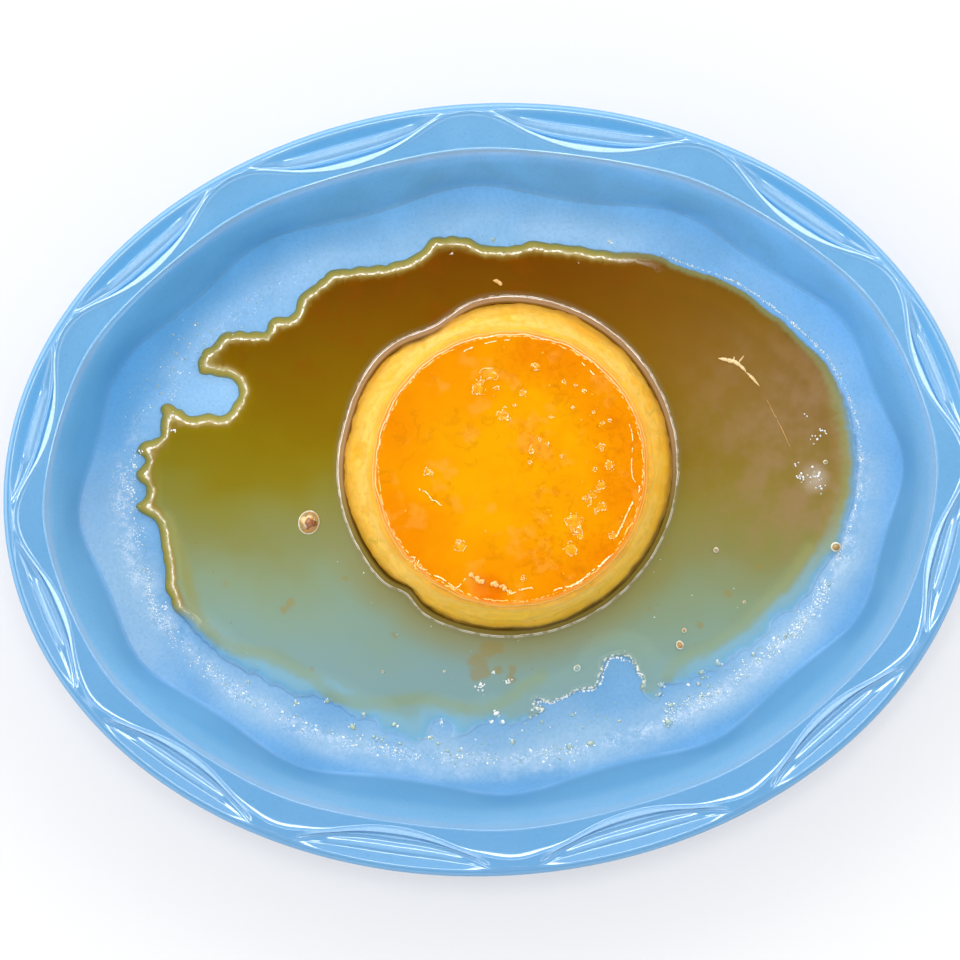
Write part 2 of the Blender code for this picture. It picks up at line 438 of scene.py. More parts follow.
def dish_shape(net):
    half_length = sized(net, "Half length", DISH_LENGTH / 2)
    half_width = sized(net, "Half width", DISH_WIDTH / 2)
    leaves = sized(net, "Leaves", LEAVES)
    first = sized(net, "First leaf", FIRST_LEAF / 360)
    columns = sized(net, "Points round", DISH_COLUMNS + 1)

    def turned(around):
        """Its cosine and sine, its distance from a leaf's middle, and an even wave, 1 on the leaves."""
        angle = around * math.tau
        away = net.sum("FRACT", (around - first) * leaves + 0.5) - 0.5
        wave = 0.5 + 0.5 * net.sum("COSINE", away * math.tau)
        return net.sum("COSINE", angle), net.sum("SINE", angle), away, wave * (1 + 0.3 * (1 - wave))

    def set_in(cosine, sine, inset):
        """The x and y of the place that far in from the dish's edge."""
        steep = net.sum("SQRT", (half_width * cosine) ** 2 + (half_length * sine) ** 2)
        x = cosine * (half_length - inset * half_width / steep)
        return x, sine * (half_width - inset * half_length / steep)

    def lofted(lines, rows_each, crest_shift=0.0):
        def place(around, across):
            cosine, sine, away, wave = turned(around)
            ends = cosine * cosine
            bow = net.sum("MAXIMUM", 1 - abs(away * (2 / HOLLOW_SPAN)) ** 2.6, 0)
            profiles = [[line[column] / LINE_SCALE for line in lines] for column in range(6)]
            inset_between, height_between, inset_middle, height_middle, lift, waving = (
                net.curve(across, values) * LINE_SCALE for values in profiles
            )
            share = bow + (wave - bow) * waving
            leaf_span = LEAF_SPAN - (LEAF_SPAN - END_LEAF_SPAN) * ends
            leaf = net.sum("MAXIMUM", 1 - (away * 2 / leaf_span) ** 2, 0) ** 0.6
            inset = inset_between + (inset_middle - inset_between) * share
            inset = inset - END_NARROWING * ends * net.sum("MAXIMUM", inset - 2, 0)
            inset = inset - sine * (1 - share) * waving * inset.over(8, 4) * crest_shift
            height = height_between + (height_middle - height_between) * share + lift * leaf
            x, y = set_in(cosine, sine, inset)
            thin = 0.0
            if lines is RIM:
                # painted pale on the bead and the leaf, partly thin glaze and partly a painted highlight; in
                # the hollows it goes below 0, partly gathered glaze and partly painted shade
                thin = across.over(*BEAD_PALE[:2]) * across.over(*BEAD_PALE[2:]) * bow.over(0.1, 0.5)
                thin = net.sum("MAXIMUM", thin, across.near(*LEAF_PALE) * leaf * 0.5)
                for pool in HOLLOW_POOLS_AND_SHADE:
                    thin = thin - across.near(*pool).over(0.0, 0.6) * bow
            return x, y, height, thin

        return sheet(net, columns, (len(lines) - 1) * rows_each + 1, place)

    def closed(line, rows, sag):
        """The middle of the floor or of the underside, drawn in from a line to a point."""

        def place(around, across):
            cosine, sine, _, wave = turned(around)
            inset = line[0] + (line[2] - line[0]) * wave
            inset = inset - END_NARROWING * cosine * cosine * (inset - 2)
            x, y = set_in(cosine, sine, inset)
            height = line[1] + (line[3] - line[1]) * wave
            return x * across, y * across, height + (line[1] + sag - height) * (1 - across * across), 0.0

        return sheet(net, columns, rows, place)

    sheets = (
        closed(UNDERSIDE[0], 8, 0.3),
        lofted(UNDERSIDE, 1),
        lofted(RIM, 2, CREST_SHIFT),
        lofted(WALL, 2),
        lofted(FLOOR, 2),
        closed(FLOOR[-1], 12, FLOOR_HEIGHT - FLOOR[-1][1]),
    )
    joined = net.tree.nodes.new("GeometryNodeJoinGeometry")
    for made in reversed(sheets):
        net.tree.links.new(made.socket, joined.inputs[0])
    return Wire(net, joined.outputs[0])


def glaze_tone(net, steep, level):
    """The glaze's colour with what has dried on it, and with painted light and shade: lighter towards the
    back, darker on the slopes, the outer lip and the back left, with a painted sheen on the floor by the
    wall. Steep is 1 on the slopes, level is 1 where it is flat.
    """
    place = net.spot()
    x, y, z = (axis * (1 / MM) for axis in net.split(place))
    # painted light: the rim and the floor are painted lighter and bluer towards the back, to even out how the
    # light falls on them
    on_rim = net.mix(y.over(-70, 70), (0.125, 0.300, 0.525), (0.152, 0.358, 0.604))
    on_floor = net.mix(y.over(-40, 50), (0.162, 0.388, 0.690), (0.190, 0.480, 0.870))
    colour = net.mix(z.over(22, 10), on_rim, on_floor)
    # painted shade: the slopes are painted a darker blue, darkest low on the front wall, lighter high on it,
    # and bluer at the back and on the left, standing in for how the light falls on the walls
    slope = z.over(24.7, 24.2) * z.over(7.8, 10.5)
    front = net.mix(z.over(21, 16), (0.140, 0.315, 0.530), (0.095, 0.267, 0.485))
    on_slope = net.mix(y.over(-20, 60), front, (0.140, 0.427, 0.850))
    on_slope = net.mix(x.over(-60, -95) * 0.6, on_slope, (0.130, 0.355, 0.620))
    colour = net.mix(steep * slope, colour, on_slope)
    out = net.sum("SQRT", (x * (2 / DISH_LENGTH)) ** 2 + (y * (2 / DISH_WIDTH)) ** 2)
    ring = out - (x * (1 / 90)) ** 2 * 0.055
    # painted shade: the outer lip, which faces outwards and down, is painted a deeper blue
    colour = net.mix(out.over(0.983, 0.991) * 0.7, colour, (0.050, 0.235, 0.450))
    cloud = net.cloud(place, 18 * MM, 3.0).over(0.35, 0.65)
    colour = net.mix(cloud * 0.35, colour, (0.100, 0.285, 0.510))
    # painted sheen: a paler band on the gently rising floor by the foot of the wall, strongest at the front,
    # right and left, in streaks, standing in for light glancing off the floor there
    foot_sheen = z.over(6.15, 7.0) * z.over(8.1, 7.6) * level
    streaks = net.cloud(net.scaled(place, (1.0, 1.6, 1.0)), 24 * MM, 3.0).over(0.30, 0.62)
    front_right = (x * 0.25 - y * 0.8).over(-20, 50)
    side = (0.35 + front_right * 0.65) * (0.35 + 0.65 * streaks) * ring.over(0.79, 0.73)
    side = net.sum("MAXIMUM", side, x.over(-72, -90) * y.over(35, 5) * (0.45 + 0.35 * streaks))
    colour = net.mix(foot_sheen * side, colour, (0.340, 0.530, 0.720))
    # painted sheen: a paler, bluer patch on the floor at the back, between the wall and the sauce
    upper_floor_sheen = ring.over(0.755, 0.685) * z.over(8.1, 7.6) * y.over(8, 30) * x.over(62, 30)
    colour = net.mix(upper_floor_sheen * (0.35 + 0.45 * streaks), colour, (0.360, 0.620, 0.930))
    # painted shade: the rim and the wall at the back left are painted a deeper, more saturated blue
    deeper = (y * 0.4 - x * 0.6).over(25, 75) * out.over(0.72, 0.80) * out.over(0.93, 0.86) * y.over(-5, 25)
    colour = net.mix(deeper * 0.6, colour, (0.060, 0.300, 0.620))
    within = z.over(5.4, 5.9)
    film = net.cloud(place, 5 * MM, 4.0, 0.65).over(0.42, 0.66) * out.near(0.745, 0.042) * y.over(12, -22)
    colour = net.mix(film * within * 0.5, colour, (0.440, 0.600, 0.780))
    dried = net.cloud(place, 1.6 * MM, 4.0, 0.7).over(0.44, 0.64)
    dried = dried * net.cloud(place, 9 * MM, 2.0).over(0.35, 0.55)
    dried = ring.near(0.714, 0.026) * dried * y.over(30, 5) * within
    colour = net.mix(dried * 0.75, colour, (0.560, 0.700, 0.860))
    lace = abs(net.cloud(place, 1.3 * MM, 3.0, 0.6) - 0.5).over(0.030, 0.004)
    laced = net.cloud(place, 6 * MM, 2.0).over(0.42, 0.60) * ring.near(0.716, 0.034) * y.over(40, 0) * within
    return net.mix(lace * laced * 0.75, colour, (0.760, 0.880, 0.960))


def blue_glaze(net):
    """Glossy blue, darker on the slopes as painted shade, pale where the glaze lies thin and where a
    highlight is painted, with fine dark specks.
    """
    place = net.spot()
    facing = abs(net.split(net.normal())[2])
    _, y, z = (axis * (1 / MM) for axis in net.split(place))
    colour = glaze_tone(net, facing.over(0.995, 0.75), facing.over(0.93, 0.97))
    thin = net.mark("thin_glaze")
    # deeper blue in the hollows, strongest at the back: partly gathered glaze, partly painted shade
    colour = net.mix((0 - thin).over(0, 1) * y.over(-20, 40) * 0.75, colour, (0.065, 0.300, 0.620))
    # pale on the bead and the leaf: partly thin glaze, partly a painted highlight
    colour = net.mix(thin * (0.45 + 0.55 * y.over(-75, -20)), colour, (0.460, 0.660, 0.870))
    specks = net.cloud(place, 0.5 * MM, 1.0).over(0.66, 0.80)
    colour = net.mix(specks * 0.35, colour, (0.030, 0.130, 0.290))
    grain = net.cloud(place, 0.8 * MM, 3.0, 0.6)
    colour = net.mix((grain - 0.38) * 0.7, colour, (0.085, 0.270, 0.490))
    ripple = net.cloud(place, 9 * MM, 1.0)
    bump = net.relief(grain * 0.02 + ripple * 0.25, 0.4)
    slope = z.over(23.2, 24.2) + z.over(10.5, 7.8)
    return {
        "Base Color": colour,
        "Roughness": 0.4,
        "Specular IOR Level": 0.0,
        "Coat Weight": (0.3 + 0.7 * slope) * (1 - thin.over(0, 1) * 0.93),
        "Coat Roughness": 0.06,
        "Coat IOR": 1.8,
        "Normal": bump,
    }


def make_dish():
    net = shape_net("dish_shape")
    dish = grow(net, "dish_glazed", dish_shape(net), finish("blue_glaze", blue_glaze))
    close_up(dish)
    dish.data.set_sharp_from_angle(angle=math.radians(CREASE_ANGLE))
    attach(dish, "root")
    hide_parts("dish")
    return dish


dish = make_dish()


# The set custard, of egg and milk baked in a round mould and turned out. It has slumped a little, so that its
# foot is dented; its side keeps soft ledges and streaks from the mould, and the caramel stains its shoulder.
CUSTARD_CENTRE = (4.7, 5.6)
CUSTARD_LEAN = (0.4, -0.8)
CUSTARD_BASE = 6.3
CUSTARD_TOP = 37.3
CUSTARD_COLUMNS = 480
# radius and height, from the middle of the underside, up the side and in to the middle of the top
CUSTARD_SECTION = (
    (0.0, 6.30),
    (39.8, 6.30),
    (41.0, 6.70),
    (41.2, 8.20),
    (40.5, 11.0),
    (39.5, 14.5),
    (38.5, 18.0),
    (37.6, 21.5),
    (36.7, 25.0),
    (35.9, 28.5),
    (35.3, 31.5),
    (34.9, 34.0),
    (34.4, 36.2),
    (33.6, 37.3),
    (32.4, 37.62),
    (0.0, 37.62),
)
# a dent in the foot: its direction, its depth, and the degrees that it is wide
DENTS = ((114, 3.0, 13), (228, 1.9, 6), (161, 0.5, 12))
DENT_TOP = 25.5
# where the mesh begins and ends, well away from every dent
SEAM_DIRECTION = -100


def directions(net, place, centre):
    """The direction in degrees of a place round an upright line through the centre, and its distance."""
    x, y, _ = net.split(net.vector_sum("SUBTRACT", place, (centre[0] * MM, centre[1] * MM, 0)))
    return net.sum("ARCTAN2", y, x) * (180 / math.pi), net.sum("SQRT", x * x + y * y) * (1 / MM)


def custard_shape(net):
    lean_x, lean_y = sized(net, "Lean along", CUSTARD_LEAN[0]), sized(net, "Lean across", CUSTARD_LEAN[1])
    columns = sized(net, "Points round", CUSTARD_COLUMNS + 1)

    def place(around, along):
        direction = around * 360 + SEAM_DIRECTION
        angle = direction * (math.pi / 180)
        radii, heights = zip(*CUSTARD_SECTION)
        radius = net.curve(along, [value / LINE_SCALE for value in radii]) * LINE_SCALE
        height = net.curve(along, [value / LINE_SCALE for value in heights]) * LINE_SCALE
        side = radius.over(20, 33)
        fade = height.over(DENT_TOP, CUSTARD_BASE)
        for middle, depth, width in DENTS:
            away = (direction - middle) * (1 / width)
            radius = radius - net.sum("EXPONENT", 0 - away * away) * fade * side * depth
        cosine, sine = net.sum("COSINE", angle), net.sum("SINE", angle)
        spot = net.join(cosine * radius, sine * radius, height)
        ledges = net.cloud(net.scaled(spot, (0.35, 0.35, 1.6)), 5.0, 3.0)
        streaks = net.cloud(net.scaled(spot, (1.0, 1.0, 0.16)), 3.2, 3.0)
        lumps = net.cloud(spot, 14.0, 2.0)
        radius = radius + side * ((ledges - 0.5) * 0.4 + (streaks - 0.5) * 0.9 + (lumps - 0.5) * 1.8)
        share = (height - CUSTARD_BASE) * (1 / (CUSTARD_TOP - CUSTARD_BASE))
        x = CUSTARD_CENTRE[0] + lean_x * share + cosine * radius
        y = CUSTARD_CENTRE[1] + lean_y * share + sine * radius
        return x, y, height, 0.0

    return sheet(net, columns, (len(CUSTARD_SECTION) - 1) * 9 + 1, place)


def set_custard(net):
    """Pale egg yellow, tan at the stained shoulder and deeper gold at the foot, with faint golden streaks,
    and painted shade: deeper gold down the front side, and dark at the foot on the front and in the dent.
    """
    place = net.spot()
    direction, _ = directions(net, place, CUSTARD_CENTRE)
    height = net.split(place)[2] * (1 / MM)
    patches = net.cloud(place, 9 * MM, 3.0)
    streaks = net.cloud(net.scaled(place, (1.0, 1.0, 0.12)), 1.6 * MM, 3.0)
    colour = net.ramp(
        (height + (patches - 0.5) * 5) * (1 / 40),
        (
            (0.15, 0.62, 0.24, 0.010),
            (0.24, 0.84, 0.43, 0.035),
            (0.40, 0.90, 0.47, 0.050),
            (0.60, 0.92, 0.52, 0.090),
            (0.84, 0.91, 0.51, 0.100),
            (0.895, 0.74, 0.38, 0.045),
            (0.945, 0.62, 0.29, 0.025),
        ),
    )
    colour = net.mix(streaks.over(0.48, 0.66) * 0.55, colour, (0.76, 0.38, 0.016))
    runs = net.cloud(net.scaled(place, (1.0, 1.0, 0.2)), 5 * MM, 3.0).over(0.50, 0.64)
    colour = net.mix(runs * height.over(35, 27) * 0.65, colour, (0.86, 0.37, 0.010))
    # painted shade: the front side, away from the light, is painted a deeper gold
    front = net.sum("MAXIMUM", direction.near(-85, 95), direction.near(-10, 60) * 0.5)
    front = front * height.over(37.5, 33)
    colour = net.mix(front * (0.55 + 0.45 * patches.over(0.35, 0.65)), colour, (0.98, 0.49, 0.010))
    # the lower side is painted deeper gold, and dark brown on the front and in the dent, as painted shade
    low = height.over(17.0, 9.0) * (0.5 + 0.5 * patches.over(0.4, 0.6))
    dark = net.sum("MAXIMUM", direction.near(-70, 110), direction.near(122, 14))
    colour = net.mix(low, colour, net.mix(dark, (0.56, 0.24, 0.010), (0.25, 0.105, 0.002)))
    # painted shadow: near black at the foot on the front and in the dent, where the custard meets the sauce
    colour = net.mix(height.over(13.5, 10.0) * dark * 0.85, colour, (0.080, 0.036, 0.002))
    cracks = direction + (net.cloud(place, 3 * MM, 2.0) - 0.5) * 9
    cracked = cracks.near(-154, 1.3) + cracks.near(17, 1.1) + cracks.near(26, 1.0) + cracks.near(-58, 0.8)
    colour = net.mix(cracked * height.over(31, 24) * 0.6, colour, (0.60, 0.34, 0.012))
    pores = net.cloud(place, 0.7 * MM, 2.0)
    bump = net.relief(pores * 0.05 + streaks * 0.3, 0.5)
    return {
        "Base Color": colour,
        "Roughness": 0.5,
        "Specular IOR Level": 0.1,
        "Subsurface Weight": 0.35,
        "Subsurface Radius": (0.004, 0.0022, 0.0007),
        "Subsurface Scale": 1.0,
        "Coat Weight": height.over(36.5, 33.5) * 0.28 + 0.05,
        "Coat Roughness": 0.16,
        "Normal": bump,
    }


def make_custard():
    net = shape_net("custard_shape")
    custard = grow(net, "custard_turned_out", custard_shape(net), finish("set_custard", set_custard))
    close_up(custard)
    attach(custard, "root")
    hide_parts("custard")
    return custard


custard = make_custard()


# The caramel layer, burnt sugar that set in the bottom of the mould and came out on top: a thin amber sheet
# with a wet gloss, wrinkled and pitted where the sugar bubbled, and ragged where it ends on the shoulder.
LAYER_RADIUS = 33.3
LAYER_BASE = 37.6
LAYER_COLUMNS = 420
LAYER_ROWS = 112
LAYER_CENTRE = (CUSTARD_CENTRE[0] + CUSTARD_LEAN[0], CUSTARD_CENTRE[1] + CUSTARD_LEAN[1])
# from the middle of its underside out to the edge and back over the top: share of the radius, and height
LAYER_OUT = (0.0, 0.93, 0.993, 1.0, 0.985, 0.955, 0.91, 0.85, 0.78, 0.7, 0.6, 0.5, 0.4, 0.3, 0.2, 0.1, 0.0)
LAYER_UP = (0.0, 0.0, 0.12, 0.45, 0.75, 0.86) + (0.88,) * 11


def layer_shape(net):
    radius_size = sized(net, "Radius", LAYER_RADIUS)
    columns = sized(net, "Points round", LAYER_COLUMNS + 1)

    def place(around, along):
        angle = around * math.tau
        cosine, sine = net.sum("COSINE", angle), net.sum("SINE", angle)
        out = net.curve(along, LAYER_OUT)
        up = net.curve(along, LAYER_UP)
        spot = net.join(cosine * out * 33, sine * out * 33, 0.0)
        ragged = net.cloud(net.join(cosine * 33, sine * 33, 7.0), 6.0, 4.0, 0.65) - 0.5
        radius = radius_size * out + ragged * 1.6 * out ** 6
        top = up.over(0.5, 0.85) * out.over(0.0, 0.06)
        swell = (net.cloud(spot, 13.0, 2.0) - 0.5) * 0.55
        wrinkle = abs(net.cloud(spot, 7.5, 3.0, 0.6) - 0.5).over(0.12, 0.0)
        wrinkle = wrinkle * net.cloud(spot, 16.0).over(0.5, 0.65)
        pebbles = (cosine * out).over(0.0, 0.4) * 0.10
        grit = (net.cloud(spot, 1.6, 2.0) - 0.5) * (0.06 + pebbles)
        height = LAYER_BASE + up + top * (swell + wrinkle * 0.12 + grit) * 0.6
        return LAYER_CENTRE[0] + cosine * radius, LAYER_CENTRE[1] + sine * radius, height, 0.0

    return sheet(net, columns, LAYER_ROWS + 1, place)


def amber_caramel(net):
    """Clear amber over pale custard: brighter and yellower where it is thin, deeper orange to the edge, with
    a painted highlight in short strokes near the edge.
    """
    place = net.spot()
    _, radius = directions(net, place, LAYER_CENTRE)
    patches = net.cloud(place, 13 * MM, 3.0)
    _, glow = directions(net, place, (0.5, 7.0))
    depth = radius.over(12, 33) * 0.32 + glow.over(4, 30) * 0.16 + (patches - 0.5) * 1.0 + 0.05
    colour = net.ramp(
        depth,
        (
            (0.00, 0.700, 0.300, 0.0004),
            (0.30, 0.690, 0.248, 0.0003),
            (0.60, 0.665, 0.200, 0.0002),
            (1.00, 0.640, 0.158, 0.0002),
        ),
    )
    creases = abs(net.cloud(place, 7 * MM, 3.0, 0.55) - 0.5).over(0.045, 0.0)
    creases = creases * net.cloud(place, 9 * MM, 2.0).over(0.50, 0.62)
    colour = net.mix(creases * 0.30, colour, (0.46, 0.14, 0.002))
    milky = net.cloud(place, 6 * MM, 3.0).over(0.54, 0.68)
    colour = net.mix(milky * 0.35, colour, (0.780, 0.320, 0.040))
    pebbly = net.split(place)[0].over(2 * MM, 12 * MM) * net.cloud(place, 12 * MM, 2.0).over(0.35, 0.55)
    mottle = net.cloud(place, 1.4 * MM, 3.0, 0.6).over(0.48, 0.62)
    colour = net.mix(pebbly * mottle * 0.42, colour, (0.540, 0.150, 0.0005))
    _, spill = directions(net, place, (-2.0, -24.0))
    colour = net.mix(spill.over(5.5, 2.0) * 0.5, colour, (0.640, 0.095, 0.0005))
    colour = net.mix(radius.over(32.4, 33.2) * 0.8, colour, (0.66, 0.34, 0.045))
    # painted highlight: cream strokes a little inside the edge, where the layer's rolled edge catches the
    # light
    wander = radius + (net.cloud(place, 2.2 * MM, 2.0) - 0.5) * 1.6
    glint_dashes = net.cloud(place, 0.9 * MM, 1.0).over(0.44, 0.56)
    colour = net.mix(wander.near(32.0, 0.22) * glint_dashes * 0.85, colour, (1.0, 0.68, 0.22))
    grain = net.cloud(place, 1.1 * MM, 2.0)
    bump = net.relief(grain * 0.06, 0.5)
    return {
        "Base Color": colour,
        "Roughness": 0.4,
        "Specular IOR Level": 0.0,
        "Subsurface Weight": 0.15,
        "Subsurface Radius": (0.003, 0.001, 0.0002),
        "Subsurface Scale": 1.0,
        "Coat Weight": 1.0,
        "Coat Roughness": 0.05,
        "Coat IOR": 1.6,
        "Normal": bump,
    }


def make_layer():
    net = shape_net("layer_shape")
    layer = grow(net, "caramel_top", layer_shape(net), finish("amber_caramel", amber_caramel))
    close_up(layer)
    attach(layer, "root")
    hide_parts("caramel_layer")
    return layer


layer = make_layer()


# The sauce, thin caramel syrup that ran down round the pudding. It stands deep and brown at the back, where
# it ends in a rounded bead, and has run out to a pale ragged film at the front; it creeps up the custard.
POOL_OUTLINE = (
    (-10.0, 64.0), (-13.5, 61.5), (-20.5, 58.5), (-30.5, 58.0), (-36.0, 57.5), (-41.0, 54.5),
    (-45.0, 50.5), (-47.0, 47.5), (-51.5, 46.0), (-54.5, 43.5), (-61.5, 44.0), (-64.5, 43.5),
    (-67.5, 41.0), (-70.5, 39.0), (-71.5, 35.0), (-70.0, 33.5), (-63.5, 32.5), (-62.0, 29.5),
    (-62.5, 26.5), (-66.5, 23.0), (-74.0, 23.5), (-77.0, 25.5), (-81.0, 26.0), (-82.0, 19.5),
    (-85.0, 18.0), (-88.5, 15.5), (-86.5, 13.0), (-88.5, 10.0), (-86.5, 5.0), (-89.5, 1.0), (-84.0, -3.0),
    (-83.5, -12.5), (-82.0, -23.5), (-77.7, -29.9), (-74.0, -34.4), (-68.3, -39.8), (-61.0, -44.1),
    (-53.7, -48.1), (-46.3, -50.6), (-40.2, -53.5), (-35.3, -56.4), (-29.2, -59.5), (-24.3, -61.9),
    (-20.6, -62.4), (-17.8, -58.5), (-16.2, -57.6), (-14.5, -59.2), (-14.2, -61.8), (-12.3, -62.9),
    (-9.1, -61.3), (-6.0, -59.3), (-3.1, -58.0), (-0.2, -59.4), (3.6, -59.4), (6.5, -57.6), (9.6, -56.3),
    (8.6, -54.2), (12.0, -54.7), (15.9, -53.4), (19.2, -52.3), (22.8, -52.1), (24.4, -50.7),
    (25.5, -48.2), (26.7, -45.5), (28.1, -44.3), (30.1, -44.7), (33.2, -46.2), (33.9, -48.3),
    (35.3, -49.9), (34.9, -52.4), (36.2, -55.0), (37.9, -56.6), (39.7, -55.7), (40.1, -53.2),
    (41.9, -52.6), (44.4, -52.7), (47.0, -52.1), (49.6, -50.8), (52.7, -49.5), (56.4, -47.7),
    (60.5, -45.7), (66.6, -41.3), (70.6, -37.5), (75.0, -35.0), (79.0, -31.0), (83.2, -25.0),
    (87.2, -20.0), (89.6, -14.0), (91.5, -8.5), (93.0, -1.0), (93.0, 6.5), (91.9, 14.2), (89.6, 20.9),
    (86.4, 27.2), (82.0, 31.8), (77.0, 37.6), (72.0, 41.9), (67.3, 46.0), (61.2, 49.6), (51.5, 53.5),
    (46.5, 56.5), (41.0, 57.5), (34.0, 58.0), (25.5, 60.0), (15.5, 61.5), (8.5, 61.0), (2.0, 62.0),
    (-2.0, 64.0),
)
FOOT_RADIUS = 40.95
FOOT_POINTS = 515
# points in a full turn; the last few are left out, so one straight stretch leads back to the first
FOOT_FULL_TURN = 523
EDGE_STEP = 0.3
EDGE_ROWS = (0.12, 0.35, 0.65, 1.0, 1.4, 1.9, 2.5, 3.2, 4.2)
EDGE_SOFTENING = 2
POOL_STEP = 1.2
ROW_SPACING = 0.866
FIELD_LENGTH = 200
FIELD_WIDTH = 140
POOL_LEVEL = 8.1
THIN_LEVEL = 7.2
BEAD_CURVE = 0.68
FILM_CURVE = 1.2
BROKEN_CURVE = 0.45
CREEP_HEIGHT = 1.2
CREEP_CURVE = 0.62
# what each point of the pool carries: its distance from the edge, 1 where it is deep, its distance from the
# custard's foot, 1 on a flow line, 1 where the film broke, and how stained it is
POOL_MARKS = ("edge", "deep", "creep", "flow", "broken", "stain")
MARK_REACH = 12.0
# where syrup of two strengths met, a darker band stays; where the film broke, its edge stands up and glints
FLOW_LINES = (
    (
        (-81.5, -2.0), (-78.5, -13.0), (-75.5, -27.0), (-67.5, -35.5), (-56.5, -38.5), (-48.5, -44.0),
        (-42.5, -49.5), (-33.0, -52.0), (-20.5, -51.5), (-12.0, -54.5), (-4.0, -55.0), (3.0, -51.5),
        (10.0, -47.5),
    ),
    ((39.5, -54.5), (43.0, -47.5), (47.5, -44.5), (55.0, -41.5), (64.0, -36.0), (72.0, -28.5), (79.0, -20.0)),
)
BROKEN_EDGE = (
    (9.6, -56.3), (8.6, -54.2), (12.0, -54.7), (15.9, -53.4), (19.2, -52.3), (22.8, -52.1), (24.4, -50.7),
    (25.5, -48.2), (26.7, -45.5), (28.1, -44.3), (30.1, -44.7), (33.2, -46.2), (33.9, -48.3),
    (35.3, -49.9),
)
# a stain of settled sugar: its middle and how far it spreads
STAINS = (
    (-5.9, -43.1, 2.3), (-3.2, -40.3, 2.2), (-0.7, -39.7, 1.7), (-6.4, -46.2, 2.0), (-4.2, -46.0, 1.3),
    (2.1, -48.0, 1.2), (2.6, -45.6, 1.2), (-0.9, -45.6, 1.2), (-53.8, -26.9, 1.1), (-51.9, -25.2, 1.2),
    (-68.2, -19.6, 0.7), (-38.0, -19.9, 0.8), (-26.4, -35.2, 0.8), (-47.8, -42.4, 0.7), (50.5, -37.5, 0.9),
    (38.1, -32.9, 0.7), (58.0, -30.0, 1.0), (66.0, -24.0, 0.9),
)


def smooth_run(points, step, closed=True):
    """Evenly spaced points along a smooth curve through the given ones."""
    count = len(points)
    spans = count if closed else count - 1
    dense = []
    for span in range(spans):
        picked = [span - 1, span, span + 1, span + 2]
        picked = [number % count if closed else min(max(number, 0), count - 1) for number in picked]
        a, b, c, d = (Vector(points[number]) for number in picked)
        for part in range(24):
            t = part / 24
            point = 2 * b + (c - a) * t
            point = point + (2 * a - 5 * b + 4 * c - d) * t ** 2
            point = point + (3 * b - a - 3 * c + d) * t ** 3
            dense.append(0.5 * point)
    dense.append(dense[0].copy() if closed else Vector(points[-1]))
    lengths = [0.0]
    for before, after in zip(dense, dense[1:]):
        lengths.append(lengths[-1] + (after - before).length)
    steps = max(8, round(lengths[-1] / step))
    run, at = [], 0
    for number in range(steps if closed else steps + 1):
        target = lengths[-1] * number / steps
        while at < len(lengths) - 2 and lengths[at + 1] < target:
            at += 1
        part = (target - lengths[at]) / max(lengths[at + 1] - lengths[at], 1e-9)
        run.append(dense[at].lerp(dense[at + 1], part))
    return run


def rise(value, low, high):
    """0 up to low, 1 from high on, and a smooth rise between."""
    share = min(max((value - low) / (high - low), 0.0), 1.0)
    return share * share * (3 - 2 * share)


def deep_share(x, y):
    """1 where the pool stands deep and ends in a bead, at the back and left, and 0 where it has run thin."""
    return rise(-0.62 * x / 90 + 0.8 * y / 60, 0.06, 0.26) * (1 - rise(x, 30, 48))


def custard_foot():
    """The outline of the custard's foot at the sauce's level, where the sauce stands against it."""
    foot = []
    for number in range(FOOT_POINTS):
        direction = 360 * number / FOOT_FULL_TURN
        radius = FOOT_RADIUS
        for middle, depth, width in DENTS:
            radius -= depth * math.exp(-(((direction - middle + 180) % 360 - 180) / width) ** 2)
        angle = math.radians(direction)
        x = CUSTARD_CENTRE[0] + radius * math.cos(angle)
        y = CUSTARD_CENTRE[1] + radius * math.sin(angle)
        foot.append(Vector((x, y)))
    return foot


def nearest(points):
    """A finder of the nearest of those points in the plane."""
    tree = KDTree(len(points))
    for number, point in enumerate(points):
        tree.insert((point.x, point.y, 0), number)
    tree.balance()
    return tree


def outward_of(ring, number):
    """The direction square to a counterclockwise ring at one of its points, away from its inside."""
    after, before = ring[(number + 1) % len(ring)], ring[number - 1]
    return Vector((after.y - before.y, before.x - after.x)).normalized()


def roughened(run):
    """The outline with its small raggedness: rounded lobes where it ends in a bead, tatters on the film."""
    rough = []
    for number, point in enumerate(run):
        thin = 1 - deep_share(point.x, point.y)
        lobes = abs(noise.noise((point.x / 4.5, point.y / 4.5, 1.7))) * 1.5 * (1 - thin)
        thin *= 1 - 0.75 * rise(point.x * 0.7 + point.y * 0.7, 20, 50)
        wander = noise.noise((point.x / 4.2, point.y / 4.2, 6.4)) * 1.2 * thin
        wander += noise.noise((point.x / 1.5, point.y / 1.5, 5.2)) * (0.08 + 0.6 * thin)
        rough.append(point + outward_of(run, number) * (lobes - 0.25 + wander))
    return rough


def inside(point, ring):
    """Whether the point lies in the closed ring, by counting crossings."""
    crossed = False
    before = ring[-1]
    for after in ring:
        if (after.y > point.y) != (before.y > point.y):
            if point.x < after.x + (point.y - after.y) * (before.x - after.x) / (before.y - after.y):
                crossed = not crossed
        before = after
    return crossed


